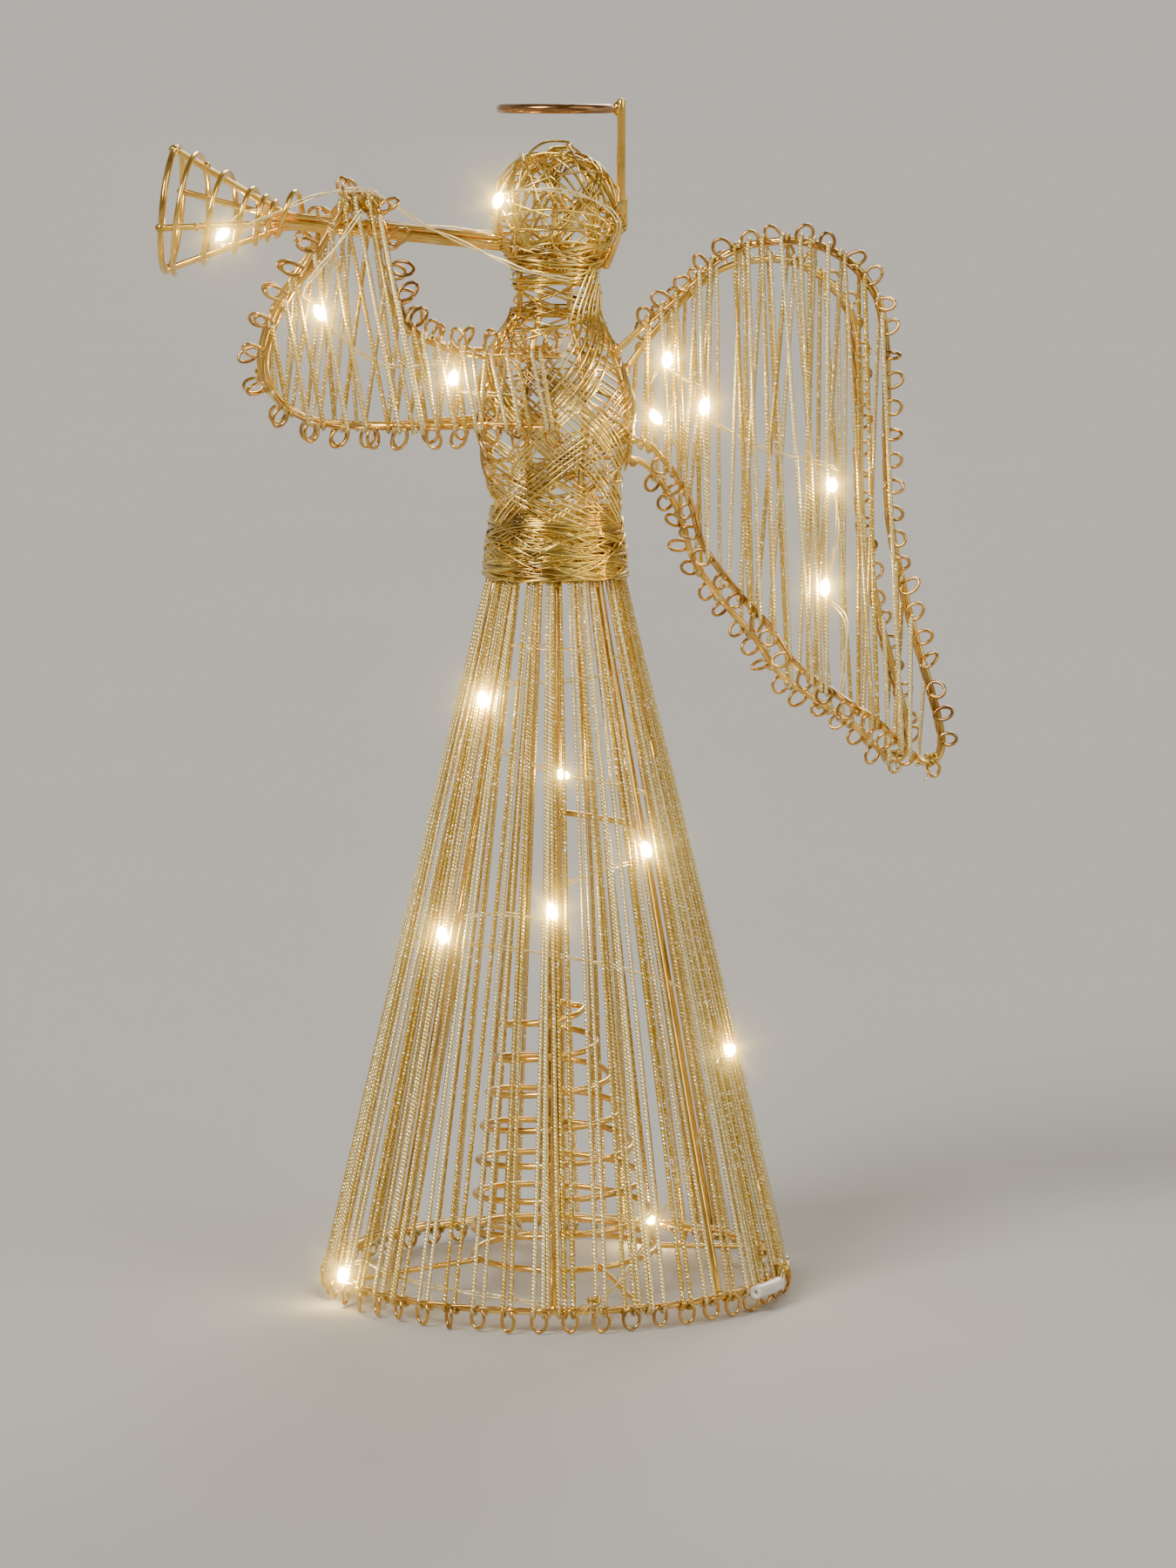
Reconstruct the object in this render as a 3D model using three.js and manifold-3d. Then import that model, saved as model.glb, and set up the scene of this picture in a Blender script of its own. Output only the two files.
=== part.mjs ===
// Angel tree topper: a welded gold wire angel that blows a trumpet, wound with metallic thread and
// micro lights. Millimetres, +Z up. The origin is the middle of the skirt's hem, on the surface that
// the hem loops stand on.
// The angel faces -X, so its wings are on the +X side and its left side looks along -Y.
import * as THREE from "three";
import { mergeVertices } from "three/addons/utils/BufferGeometryUtils.js";
import Module from "manifold-3d";

const wasm = await Module();
wasm.setup();

// Driving dimensions.
const GAP = 0.3; // air left at each weld and seat
const SELF_GAP = 0.4; // least air between two turns of one wound wire

// Wire and thread diameters.
const LEG_WIRE = 2.3;
const HEM_WIRE = 2.0;
const CAGE_WIRE = 1.8;
const HALO_WIRE = 2.4;
const STEM_WIRE = 2.0;
const COIL_WIRE = 1.9;
const STRUT_WIRE = 1.7;
const TRUMPET_WIRE = 1.8;
const SPIRAL_WIRE = 1.4;
const LIMB_WIRE = 2.0; // sleeve and wing frames
const LOOP_WIRE = 1.0; // the curled edge wires
const WRAP_WIRE = 0.8;
const BELT_WIRE = 1.0;
const THREAD = 0.9;
const LIGHT_WIRE = 0.6;
const BEAD = 2.6; // resin bead over each light
const BEAD_LENGTH = 4.8;

// Skirt and hem.
const HEM_RADIUS = 67;
const HEM_LOOPS = 28;
const HEM_LOOP_RADIUS = 2.3;
const HEM_FLAT = 0.5; // depth worn flat under each hem loop
const SKIRT_HEIGHT = 206; // hem ring to waist ring
const LEG_COUNT = 8;
const THREAD_PANELS = 12;
const STRINGS_PER_PANEL = 4;
const THREAD_TUCK = 3; // how far the threads run up past the waist ring

// Torso: heights above the waist ring and rib radii.
const WAIST_RADIUS = 17.8;
const RIB_COUNT = 8;
const BELT_TOP = 16;
const CHEST_RISE = 50;
const CHEST_RADIUS = 22.5;
const SHOULDER_RISE = 68;
const SHOULDER_RADIUS = 17;
const NECK_BASE = 78;
const NECK_RADIUS = 11.5;
const NECK_RISE = 92;
const BELT_DROP = 3; // how far the belt reaches below the waist ring
const BELT_LOOPS = 10;
const TORSO_WRAP_LOOPS = 5;
const TORSO_WRAP_START = 2.5; // above the belt
const TORSO_WRAP_HEIGHT = 12;
const NECK_WRAP_LOOPS = 4;
const NECK_WRAP_MARGIN = 3; // bare rib below and above the neck's winding

// Head and halo.
const HEAD_RADIUS = 18;
const HEAD_HOOPS = 4;
const HEAD_WRAP_LOOPS = 8;
const HEAD_WRAP_LOW = -43.5; // latitudes of the first and last turn, degrees
const HEAD_WRAP_HIGH = 60;
const HALO_RADIUS = 17.2;
const HALO_RISE = 29.4; // head's middle to the halo
const STEM_DROP = 18; // how far the stem runs down past the head's middle

// Tree coil.
const COIL_RISE = 3.6; // coil's lowest turn above the hem ring
const COIL_TURNS = 8;
const COIL_HEIGHT = 74;
const COIL_BOTTOM_RADIUS = 27.5;
const COIL_TOP_RADIUS = 11.5;
const COIL_FLAT_TURN = 0.75; // share of a turn that lies flat before the coil climbs
const COIL_LEAN_BOTTOM = 3;
const COIL_LEAN_TOP = -3.4;
const COIL_STEM = 58; // straight stem above the coil
const STEM_BEND = 3; // radius of the stem's bends
const CROSSBAR_LEG = 3; // the leg that carries the stem's bent end, counted from the front
const CROSSBAR_DROP = 6.5;
const CROSSBAR_BEND = 0.1; // share of the crossbar where its bend ends
const STRUT_COUNT = 4;
const STRUT_START = 22; // degrees

// Trumpet, placed by the point where the hands hold it.
const TRUMPET_WIRES = 4;
const HAND_X = -56;
const HAND_RISE = 51.5; // above the chest
const TRUMPET_PITCH = 5.6; // degrees up towards the bell
const TRUMPET_YAW = 4.7; // degrees towards the right arm
const TRUMPET_ROLL = -16; // degrees that the tube's wires are turned round it
const BELL_REACH = 58.5; // hands to the bell's mouth
const BELL_LENGTH = 34;
const BELL_RADIUS = 18.2;
const SPIRAL_TURNS = 5;

// Sleeves and wings. Each outline is seen from the side: distance along X, and height above the chest.
const LIMB_LOOP_RADIUS = 2.2;
const LOOP_MARGIN = 0.06; // share of an outline before its first curl and after its last one
const SLEEVE_LOOPS = 9;
const RIGHT_SLEEVE_SHIFT = -3; // the right sleeve hangs further forward
const SLEEVE_SKEW = 0.08; // how much faster the sleeves spread towards the chest than towards the cuffs
const HAND_BEND = 4; // roundness of the bend where the sleeves meet at the hands
const SLEEVE_SEAT_HIGH = 15.6;
const SLEEVE_SEAT_LOW = -4.4;
const SLEEVE_OVERLAP = 11; // how far each sleeve's frame runs on past its seat, across the chest
const SLEEVE_OUTLINE = [
  [-17, 15.1], [-25.2, 15.8], [-34.7, 18.5], [-41.3, 22.8], [-45.7, 30.8], [-48.6, 42], [-49.9, 52],
  [-54.2, 60.6], [-59.5, 58.5], [-64.6, 52], [-71.1, 40.8], [-76.9, 32.7], [-80.9, 25.5], [-83.8, 15.5],
  [-83.4, 8], [-79.5, 1.6], [-73.5, -2.8], [-64, -5.3], [-45.8, -5.8], [-31, -5.2], [-18, -4.6],
];
const WING_LOOPS = 15;
const WING_SEAT_HIGH = 16.5;
const WING_SEAT_LOW = -9.4;
const WING_OUTLINE = [
  [12, 31], [23.5, 41.3], [31.5, 46.2], [42, 48.4], [51.5, 48.2], [60.8, 44.7], [68, 38.8], [72.5, 31.8],
  [74.6, 22], [75.3, 8], [75.4, -12], [76.4, -32], [79.5, -47.5], [83, -62], [87, -75.5], [90.5, -88],
  [92, -96.5], [90.5, -101.2], [86.7, -102.6], [81.4, -98.7], [72.5, -90.5], [62.2, -84], [49, -74.6],
  [40.8, -63.3], [32, -54], [21.5, -40], [17, -26], [7.5, -12.5],
];
const WINGS = {
  left: { side: -1, yaw: 10, drop: 0 },
  right: { side: 1, yaw: 21, drop: 6.5 },
};
const STRING_PITCH = 6; // between the strings of a sleeve or wing
const STRING_MARGIN = 4; // first and last string, from the outline's ends
const LIGHT_MARGIN = 2; // the sleeve's light string, from its seat

// Clear sleeve at the hem, over the joint of the light string.
const LEAD_SLEEVE = 3.0;
const LEAD_SLEEVE_BORE = 1.4;
const LEAD_SLEEVE_FROM = 55; // degrees round from the front
const LEAD_SLEEVE_TO = 67;
const LEAD_BEND = 2; // degrees that the lead runs on before it turns in
const LEAD_ENTRY = 8; // degrees past the clear sleeve, between two strings
const LEAD_CROSSING = 4; // degrees that it takes to pass through the threads
const LEAD_RISE = 4; // above the hem ring, where it passes through

// Lights in the skirt: degrees round the hem for the lowest ones, then degrees and share of the skirt's
// height for those on the way up.
const HEM_RUN = { from: 100, to: 370 };
const HEM_LIGHTS = [154, 283];
const SKIRT_LIGHTS = [
  [450, 0.309], [670, 0.5], [719, 0.547], [765, 0.598], [900, 0.697], [1023, 0.808], [1260, 0.9],
];

// Facets round each kind of wire, and steps along it.
const THICK_SIDES = 6;
const WIRE_SIDES = 5;
const FINE_SIDES = 4;
const HEM_STEPS = 40;
const CAGE_RING_STEPS = 16;
const HOOP_STEPS = 20;
const RING_STEPS = 28; // halo and bell
const RIB_STEPS = 9;
const WIND_STEPS = 12; // one turn of a winding, of the coil or of the bell's spiral
const CURL_STEPS = 6;
const HEM_RUN_STEPS = 1; // plain run between two curls
const LIMB_RUN_STEPS = 3;
const FRAME_STEPS = 44;
const LEAD_STEPS = 5;
const LIGHT_PITCH = 10;
const LIGHT_STEPS = 20; // measured steps between two points of a light string's route
const STOP_STEP = 30; // most degrees between two points of the skirt's light string
const LONGEST_SPAN = 110;

// Levels and radii that follow from the dimensions above.
const hemLoopZ = 2 * HEM_LOOP_RADIUS + LOOP_WIRE / 2 - HEM_FLAT;
const hemZ = hemLoopZ + LOOP_WIRE / 2 + GAP + HEM_WIRE / 2;
const waistZ = hemZ + SKIRT_HEIGHT;
const chestZ = waistZ + CHEST_RISE;
const neckZ = waistZ + NECK_RISE;
const headZ = neckZ + Math.sqrt((HEAD_RADIUS + CAGE_WIRE + GAP) ** 2 - NECK_RADIUS ** 2);
const haloZ = headZ + HALO_RISE;
const coilZ = hemZ + COIL_RISE;
const threadHemRadius = HEM_RADIUS + HEM_WIRE / 2 + THREAD / 2 + 2 * GAP;
const threadWaistRadius = WAIST_RADIUS + CAGE_WIRE / 2 + GAP + THREAD / 2;
const threadTopZ = waistZ + THREAD_TUCK;
const headWrapRadius = HEAD_RADIUS + CAGE_WIRE / 2 + GAP + WRAP_WIRE / 2;
const loopCrossing = LOOP_WIRE + SELF_GAP + GAP; // sideways step that lets a curl pass itself

const radians = THREE.MathUtils.degToRad;
const lerp = THREE.MathUtils.lerp;

// A point at a compass angle round the skirt: 0 degrees is the left side, -Y, and 90 degrees is +X.
function around(degrees, radius, z) {
  const a = radians(degrees);
  return new THREE.Vector3(radius * Math.sin(a), -radius * Math.cos(a), z);
}

// Round tube along points, with mitred bends and flat ends. The radius can be one number, or one for
// each point.
function tube(points, radius, sides, closed = false) {
  const count = points.length;
  const at = (i) => points[(i + count) % count];
  const direction = (i) => at(i + 1).clone().sub(at(i)).normalize();
  const frames = [];
  for (let i = 0; i < count; i++) {
    const before = closed || i > 0 ? direction(i - 1) : direction(i);
    const after = closed || i < count - 1 ? direction(i) : before;
    const tangent = before.clone().add(after).normalize();
    const bend = after.clone().sub(before);
    const stretch = Math.min(2, 1 / Math.max(0.2, tangent.dot(before))) - 1;
    if (bend.length() > 1e-6) bend.normalize();
    const normal = frames.length ? frames[i - 1].normal.clone() : new THREE.Vector3(0.31, 0.17, 0.93);
    normal.addScaledVector(tangent, -normal.dot(tangent)).normalize();
    frames.push({ tangent, normal, bend, stretch });
  }
  let twist = 0;
  if (closed) {
    const last = frames[count - 1].normal.clone();
    const first = frames[0];
    last.addScaledVector(first.tangent, -last.dot(first.tangent)).normalize();
    twist = Math.atan2(last.clone().cross(first.normal).dot(first.tangent), last.dot(first.normal));
  }
  const positions = [];
  frames.forEach(({ tangent, normal, bend, stretch }, i) => {
    const binormal = tangent.clone().cross(normal);
    const r = Array.isArray(radius) ? radius[i] : radius;
    for (let k = 0; k < sides; k++) {
      const angle = (2 * Math.PI * k) / sides + (twist * i) / count;
      const offset = normal.clone().multiplyScalar(r * Math.cos(angle));
      offset.addScaledVector(binormal, r * Math.sin(angle));
      offset.addScaledVector(bend, offset.dot(bend) * stretch);
      offset.add(points[i]);
      positions.push(offset.x, offset.y, offset.z);
    }
  });
  const index = [];
  const spans = closed ? count : count - 1;
  for (let i = 0; i < spans; i++) {
    const next = (i + 1) % count;
    for (let k = 0; k < sides; k++) {
      const k1 = (k + 1) % sides;
      index.push(i * sides + k, i * sides + k1, next * sides + k1);
      index.push(i * sides + k, next * sides + k1, next * sides + k);
    }
  }
  for (let k = 1; !closed && k < sides - 1; k++) {
    const end = (count - 1) * sides;
    index.push(0, k + 1, k, end, end + k, end + k + 1);
  }
  const geometry = new THREE.BufferGeometry();
  geometry.setAttribute("position", new THREE.Float32BufferAttribute(positions, 3));
  return geometry.setIndex(index);
}

// Solids are joined and cut on closed meshes that hold positions only.
function toSolid(geometry) {
  const bare = geometry.clone();
  bare.deleteAttribute("normal");
  bare.deleteAttribute("uv");
  const merged = mergeVertices(bare, 1e-4);
  const vertProperties = merged.attributes.position.array;
  const triVerts = new Uint32Array(merged.index.array);
  return new wasm.Manifold(new wasm.Mesh({ numProp: 3, vertProperties, triVerts }));
}

function toGeometry(solid) {
  const made = solid.getMesh();
  const geometry = new THREE.BufferGeometry();
  geometry.setAttribute("position", new THREE.BufferAttribute(made.vertProperties, 3));
  return geometry.setIndex(new THREE.BufferAttribute(made.triVerts, 1));
}

const fuse = (geometries) => toGeometry(geometries.map(toSolid).reduce((a, b) => a.add(b)));
const cut = (geometry, tool) => toGeometry(toSolid(geometry).subtract(toSolid(tool)));

// Least air between two stretches of one wire that are further apart along it than the reach given.
function leastGap(name, points, diameter, reach, closed = false) {
  const path = new THREE.CurvePath();
  const ends = closed ? [...points, points[0]] : points;
  for (let i = 0; i + 1 < ends.length; i++) path.add(new THREE.LineCurve3(ends[i], ends[i + 1]));
  const length = path.getLength();
  const dense = path.getSpacedPoints(Math.ceil(length / (diameter / 2)));
  const step = length / (dense.length - 1);
  let least = Infinity;
  for (let i = 0; i < dense.length; i++) {
    for (let j = i + Math.ceil(reach / step); j < dense.length; j++) {
      const along = (j - i) * step;
      if (closed && length - along < reach) break;
      least = Math.min(least, dense[i].distanceToSquared(dense[j]));
    }
  }
  const gap = Math.sqrt(least) - diameter;
  console.log(name + ": least gap to itself " + gap.toFixed(2) + " mm");
}

// Long straight runs are cut into spans of even length.
function evenSpans(points) {
  const split = [points[0]];
  for (let i = 1; i < points.length; i++) {
    const spans = Math.ceil(points[i].distanceTo(points[i - 1]) / LONGEST_SPAN);
    for (let k = 1; k <= spans; k++) split.push(points[i - 1].clone().lerp(points[i], k / spans));
  }
  return split;
}

// Finishes.
const gold = new THREE.MeshStandardMaterial({ color: 0xb98a45, roughness: 0.32, metalness: 1 });
const copperGold = new THREE.MeshStandardMaterial({ color: 0xb87d42, roughness: 0.3, metalness: 1 });
const paleGold = new THREE.MeshStandardMaterial({ color: 0xd9b765, roughness: 0.28, metalness: 1 });
const thread = new THREE.MeshStandardMaterial({ color: 0xdcc88a, roughness: 0.42, metalness: 0.85 });
const lights = new THREE.MeshStandardMaterial({ color: 0xfff0c4, roughness: 0.2, metalness: 0 });
const clear = new THREE.MeshStandardMaterial({ color: 0xe9e6da, roughness: 0.25, metalness: 0 });

const topper = new THREE.Group();

function addPiece(name, geometry, material) {
  const mesh = new THREE.Mesh(geometry, material.clone());
  mesh.name = name;
  topper.add(mesh);
}

// Ring wire lying level.
function levelRing(radius, wire, z, steps, sides) {
  return new THREE.TorusGeometry(radius, wire / 2, sides, steps).translate(0, 0, z);
}

// Curled edge wire: plain runs along an outline, with a full curl outwards at each loop.
// place(x, z, off) turns the flat outline into the real shape, off being the step out of its plane.
function curledWire(outline, loops, runPoints, loopRadius, closed, place, off) {
  const points = [];
  const station = (k) => (closed ? k / loops : lerp(LOOP_MARGIN, 1 - LOOP_MARGIN, k / (loops - 1)));
  for (let k = 0; k < loops; k++) {
    const middle = outline.getPointAt(station(k));
    const along = outline.getTangentAt(station(k));
    for (let j = 0; j <= CURL_STEPS; j++) {
      const turn = (2 * Math.PI * j) / CURL_STEPS;
      const forward = loopRadius * Math.sin(turn);
      const outward = loopRadius * (1 - Math.cos(turn));
      const x = middle.x + along.x * forward - along.y * outward;
      const z = middle.y + along.y * forward + along.x * outward;
      points.push(place(x, z, off + loopCrossing * (j / CURL_STEPS - 0.5)));
    }
    if (!closed && k === loops - 1) break;
    for (let j = 1; j <= runPoints; j++) {
      const share = j / (runPoints + 1);
      const between = outline.getPointAt(station(k + share));
      const back = THREE.MathUtils.smoothstep(share, 1 / 4, 3 / 4);
      points.push(place(between.x, between.y, off + loopCrossing * (0.5 - back)));
    }
  }
  return points;
}

// Thread strung to and fro inside a bent wire: upright strings joined by short runs along its edges.
function strungThread(bent, from, to, inset, place) {
  const edge = (x, sign) => {
    let best = null;
    for (let i = 0; i + 1 < bent.length; i++) {
      const a = bent[i];
      const b = bent[i + 1];
      if ((a.x - x) * (b.x - x) > 0 || a.x === b.x) continue;
      const slope = (b.y - a.y) / (b.x - a.x);
      const z = a.y + slope * (x - a.x) - sign * inset * Math.hypot(1, slope);
      if (best === null || sign * z > sign * best) best = z;
    }
    return best;
  };
  const strings = [];
  for (let x = from; x <= to; x += STRING_PITCH) {
    const string = { x, high: edge(x, 1), low: edge(x, -1) };
    if (string.high - string.low > 2 * STRING_PITCH) strings.push(string);
  }
  const points = [];
  strings.forEach((string, j) => {
    const before = strings[j - 1] ?? string;
    const after = strings[j + 1] ?? string;
    const falls = j % 2 === 0;
    const high = Math.min(string.high, (falls ? before : after).high);
    const low = Math.max(string.low, (falls ? after : before).low);
    points.push(place(string.x, falls ? high : low, 0), place(string.x, falls ? low : high, 0));
  });
  return points;
}

// Light string: thin wire through a route's points, which swells into a bead of clear resin at each
// point whose number is listed as lit.
function lightString(route, lit) {
  const curve = new THREE.CatmullRomCurve3(route, false, "centripetal");
  curve.arcLengthDivisions = LIGHT_STEPS * (route.length - 1);
  const reached = curve.getLengths();
  const length = reached[reached.length - 1];
  const profile = [-1, -0.5, 0, 0.5, 1];
  const stations = [];
  lit.forEach((i) => {
    const middle = THREE.MathUtils.clamp(reached[LIGHT_STEPS * i], BEAD_LENGTH, length - BEAD_LENGTH);
    profile.forEach((p) => {
      const swell = Math.sqrt(1 - p * p);
      stations.push([middle + (p * BEAD_LENGTH) / 2, Math.max(LIGHT_WIRE, BEAD * swell) / 2]);
    });
  });
  for (let s = 0; s <= length; s += LIGHT_PITCH) {
    if (stations.every(([b]) => Math.abs(b - s) > BEAD_LENGTH / 2)) stations.push([s, LIGHT_WIRE / 2]);
  }
  stations.sort((a, b) => a[0] - b[0]);
  const points = stations.map(([s]) => curve.getPointAt(s / length));
  return tube(points, stations.map(([, r]) => r), FINE_SIDES);
}

// Hem: a plain ring, with a curled wire under it whose loops are the feet.
addPiece("hem_ring", levelRing(HEM_RADIUS, HEM_WIRE, hemZ, HEM_STEPS, WIRE_SIDES), gold);

const hemRound = -2 * Math.PI * HEM_RADIUS;
const hemLine = new THREE.LineCurve(new THREE.Vector2(0, 0), new THREE.Vector2(hemRound, 0));
const onHem = (x, z, off) => {
  const degrees = THREE.MathUtils.radToDeg(-x / HEM_RADIUS);
  return around(degrees, HEM_RADIUS + off, hemLoopZ + z);
};
const hemLoopPoints = curledWire(hemLine, HEM_LOOPS, HEM_RUN_STEPS, HEM_LOOP_RADIUS, true, onHem, 0);
leastGap("hem loops", hemLoopPoints, LOOP_WIRE, 3 * HEM_LOOP_RADIUS, true);
const below = 4 * HEM_LOOP_RADIUS;
const floor = new THREE.BoxGeometry(4 * HEM_RADIUS, 4 * HEM_RADIUS, below).translate(0, 0, -below / 2);
addPiece("hem_loop_wire", cut(tube(hemLoopPoints, LOOP_WIRE / 2, FINE_SIDES, true), floor), copperGold);

// Legs stand on the hem ring and butt under the waist ring.
const legSlope = Math.atan2(HEM_RADIUS - WAIST_RADIUS, SKIRT_HEIGHT);
const legTip = (LEG_WIRE / 2) * Math.sin(legSlope);
const legFootZ = hemZ + HEM_WIRE / 2 + GAP + legTip;
const legTopZ = waistZ - CAGE_WIRE / 2 - GAP - legTip;
const legRadius = (z) => lerp(HEM_RADIUS, WAIST_RADIUS - GAP, (z - legFootZ) / (legTopZ - legFootZ));
const legAngle = (k) => (360 * k) / LEG_COUNT;
for (let k = 0; k < LEG_COUNT; k++) {
  const foot = around(legAngle(k), legRadius(legFootZ), legFootZ);
  const top = around(legAngle(k), legRadius(legTopZ), legTopZ);
  addPiece("skirt_leg_" + (k + 1), tube([foot, top], LEG_WIRE / 2, THICK_SIDES), gold);
}

// Torso cage: upright ribs welded to a waist ring and a neck ring.
const torsoProfile = new THREE.SplineCurve([
  new THREE.Vector2(0, WAIST_RADIUS),
  new THREE.Vector2(BELT_TOP, WAIST_RADIUS),
  new THREE.Vector2((BELT_TOP + CHEST_RISE) / 2, (WAIST_RADIUS + CHEST_RADIUS) / 2),
  new THREE.Vector2(CHEST_RISE, CHEST_RADIUS),
  new THREE.Vector2(SHOULDER_RISE, SHOULDER_RADIUS),
  new THREE.Vector2(NECK_BASE, NECK_RADIUS),
  new THREE.Vector2(NECK_RISE, NECK_RADIUS),
]);
const ribPoints = torsoProfile.getSpacedPoints(RIB_STEPS);
function ribRadius(rise) {
  const after = ribPoints.findIndex((p) => p.x >= rise);
  const i = Math.max(1, after < 0 ? ribPoints.length - 1 : after);
  const [a, b] = [ribPoints[i - 1], ribPoints[i]];
  return lerp(a.y, b.y, (rise - a.x) / (b.x - a.x));
}
const ribAngleAt = (k) => (360 * (k + 0.5)) / RIB_COUNT; // the ribs straddle the front, back and sides
const torsoWires = [
  levelRing(WAIST_RADIUS, CAGE_WIRE, waistZ, CAGE_RING_STEPS, WIRE_SIDES),
  levelRing(NECK_RADIUS, CAGE_WIRE, neckZ, CAGE_RING_STEPS, WIRE_SIDES),
];
for (let k = 0; k < RIB_COUNT; k++) {
  const rib = ribPoints.map((p) => around(ribAngleAt(k), p.y, waistZ + p.x));
  torsoWires.push(tube(rib, CAGE_WIRE / 2, WIRE_SIDES));
}
addPiece("torso_cage", fuse(torsoWires), gold);

// Head cage: upright hoops that cross at the crown and under the chin.
const headWires = [];
for (let k = 0; k < HEAD_HOOPS; k++) {
  const hoop = new THREE.TorusGeometry(HEAD_RADIUS, CAGE_WIRE / 2, WIRE_SIDES, HOOP_STEPS);
  hoop.rotateX(Math.PI / 2).rotateZ((Math.PI * k) / HEAD_HOOPS);
  headWires.push(hoop.translate(0, 0, headZ));
}
addPiece("head_cage", fuse(headWires), gold);

// Halo ring, carried by a straight stem welded to the back of the head.
const stemX = HEAD_RADIUS + CAGE_WIRE / 2 + GAP + STEM_WIRE / 2;
const haloX = stemX - STEM_WIRE / 2 - GAP - HALO_WIRE / 2 - HALO_RADIUS;
const haloRing = levelRing(HALO_RADIUS, HALO_WIRE, haloZ, RING_STEPS, THICK_SIDES).translate(haloX, 0, 0);
addPiece("halo_ring", haloRing, gold);
const stemFoot = new THREE.Vector3(stemX, 0, headZ - STEM_DROP);
const stemTip = new THREE.Vector3(stemX, 0, haloZ + HALO_WIRE / 2);
addPiece("halo_stem", tube([stemFoot, stemTip], STEM_WIRE / 2, THICK_SIDES), gold);

// Wound wire on the head: one spiral that tents over the halo stem where it passes outside it.
const stemReach = stemX + STEM_WIRE / 2 + WRAP_WIRE / 2 + 2 * GAP;
const headWrapPoints = [];
const facet = 1 / Math.cos(Math.PI / WIND_STEPS); // keeps the flats between steps clear of what is wound
const wrapRise = (latitude) => headWrapRadius * Math.sin(radians(latitude));
const wrapEnd = HEAD_WRAP_LOOPS * WIND_STEPS;
for (let i = 0; i <= wrapEnd; i++) {
  const rise = lerp(wrapRise(HEAD_WRAP_LOW), wrapRise(HEAD_WRAP_HIGH), i / wrapEnd);
  const level = facet * Math.sqrt(headWrapRadius ** 2 - rise ** 2);
  const atStem = i % WIND_STEPS === WIND_STEPS / 2;
  const overStem = atStem && level + 2 * WRAP_WIRE > stemX - STEM_WIRE / 2 - GAP;
  headWrapPoints.push(around(-90 + (360 * i) / WIND_STEPS, overStem ? stemReach : level, headZ + rise));
}
leastGap("head wrap", headWrapPoints, WRAP_WIRE, headWrapRadius);
addPiece("head_wrap", tube(headWrapPoints, WRAP_WIRE / 2, FINE_SIDES), paleGold);

// Wound wire on the neck, the torso and the waist: plain spirals that follow what they bind.
function spiral(loops, from, to, radius) {
  const points = [];
  for (let i = 0; i <= loops * WIND_STEPS; i++) {
    const rise = lerp(from, to, i / (loops * WIND_STEPS));
    points.push(around((360 * i) / WIND_STEPS, facet * radius(rise), waistZ + rise));
  }
  return points;
}
const onRibs = (wire) => (rise) => ribRadius(rise) + CAGE_WIRE / 2 + GAP + wire / 2;
const threadSlope = (threadHemRadius - threadWaistRadius) / (threadTopZ - hemZ);
const threadFace = threadWaistRadius + THREAD / 2 + GAP;
const onThreads = (rise) => threadFace + (THREAD_TUCK - rise) * threadSlope + BELT_WIRE / 2;
const beltRadius = (rise) =>
  Math.max(onRibs(BELT_WIRE)(rise), onThreads(Math.min(rise, THREAD_TUCK + THREAD)));
const neckFrom = NECK_BASE + NECK_WRAP_MARGIN;
const neckTo = NECK_RISE - NECK_WRAP_MARGIN;
const torsoFrom = BELT_TOP + TORSO_WRAP_START;
const torsoTo = torsoFrom + TORSO_WRAP_HEIGHT;
const wraps = [
  ["neck_wrap", WRAP_WIRE, spiral(NECK_WRAP_LOOPS, neckFrom, neckTo, onRibs(WRAP_WIRE))],
  ["torso_wrap", WRAP_WIRE, spiral(TORSO_WRAP_LOOPS, torsoFrom, torsoTo, onRibs(WRAP_WIRE))],
  ["waist_belt", BELT_WIRE, spiral(BELT_LOOPS, -BELT_DROP, BELT_TOP, beltRadius)],
];
for (const [name, wire, points] of wraps) {
  leastGap(name, points, wire, NECK_RADIUS);
  addPiece(name, tube(points, wire / 2, FINE_SIDES), paleGold);
}

// Skirt threads: each panel is one thread strung down and up between the belt and the hem ring.
const stringCount = THREAD_PANELS * STRINGS_PER_PANEL;
for (let p = 0; p < THREAD_PANELS; p++) {
  const points = [];
  for (let j = 0; j < STRINGS_PER_PANEL; j++) {
    const angle = (360 * (p * STRINGS_PER_PANEL + j + 0.5)) / stringCount;
    const ends = [around(angle, threadWaistRadius, threadTopZ), around(angle, threadHemRadius, hemZ)];
    points.push(...(j % 2 ? ends.reverse() : ends));
  }
  if (p === 0) leastGap("skirt thread", points, THREAD, 3 * THREAD);
  addPiece("skirt_thread_" + (p + 1), tube(evenSpans(points), THREAD / 2, FINE_SIDES), thread);
}

// Tree coil: a tapered spring for the tree's tip, whose wire runs on as a stem and bends across to a
// back leg. A point on it is given by its angle and by how many turns it lies above the coil's end.
function onCoil(degrees, turn) {
  const share = Math.max(0, turn - COIL_FLAT_TURN) / (COIL_TURNS - COIL_FLAT_TURN);
  const radius = lerp(COIL_BOTTOM_RADIUS, COIL_TOP_RADIUS, share);
  const point = around(degrees, radius, coilZ + COIL_HEIGHT * share);
  return point.setX(point.x + lerp(COIL_LEAN_BOTTOM, COIL_LEAN_TOP, share));
}
const COIL_START = 90; // degrees
const coilPoints = [];
for (let i = 0; i <= COIL_TURNS * WIND_STEPS; i++) {
  const turn = i / WIND_STEPS;
  coilPoints.push(onCoil(COIL_START + 360 * turn, turn));
}
leastGap("tree coil", coilPoints, COIL_WIRE, COIL_TOP_RADIUS);
const coilTop = coilZ + COIL_HEIGHT;
const stemTop = coilTop + COIL_STEM;
const crossbarZ = stemTop - CROSSBAR_DROP;
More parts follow.
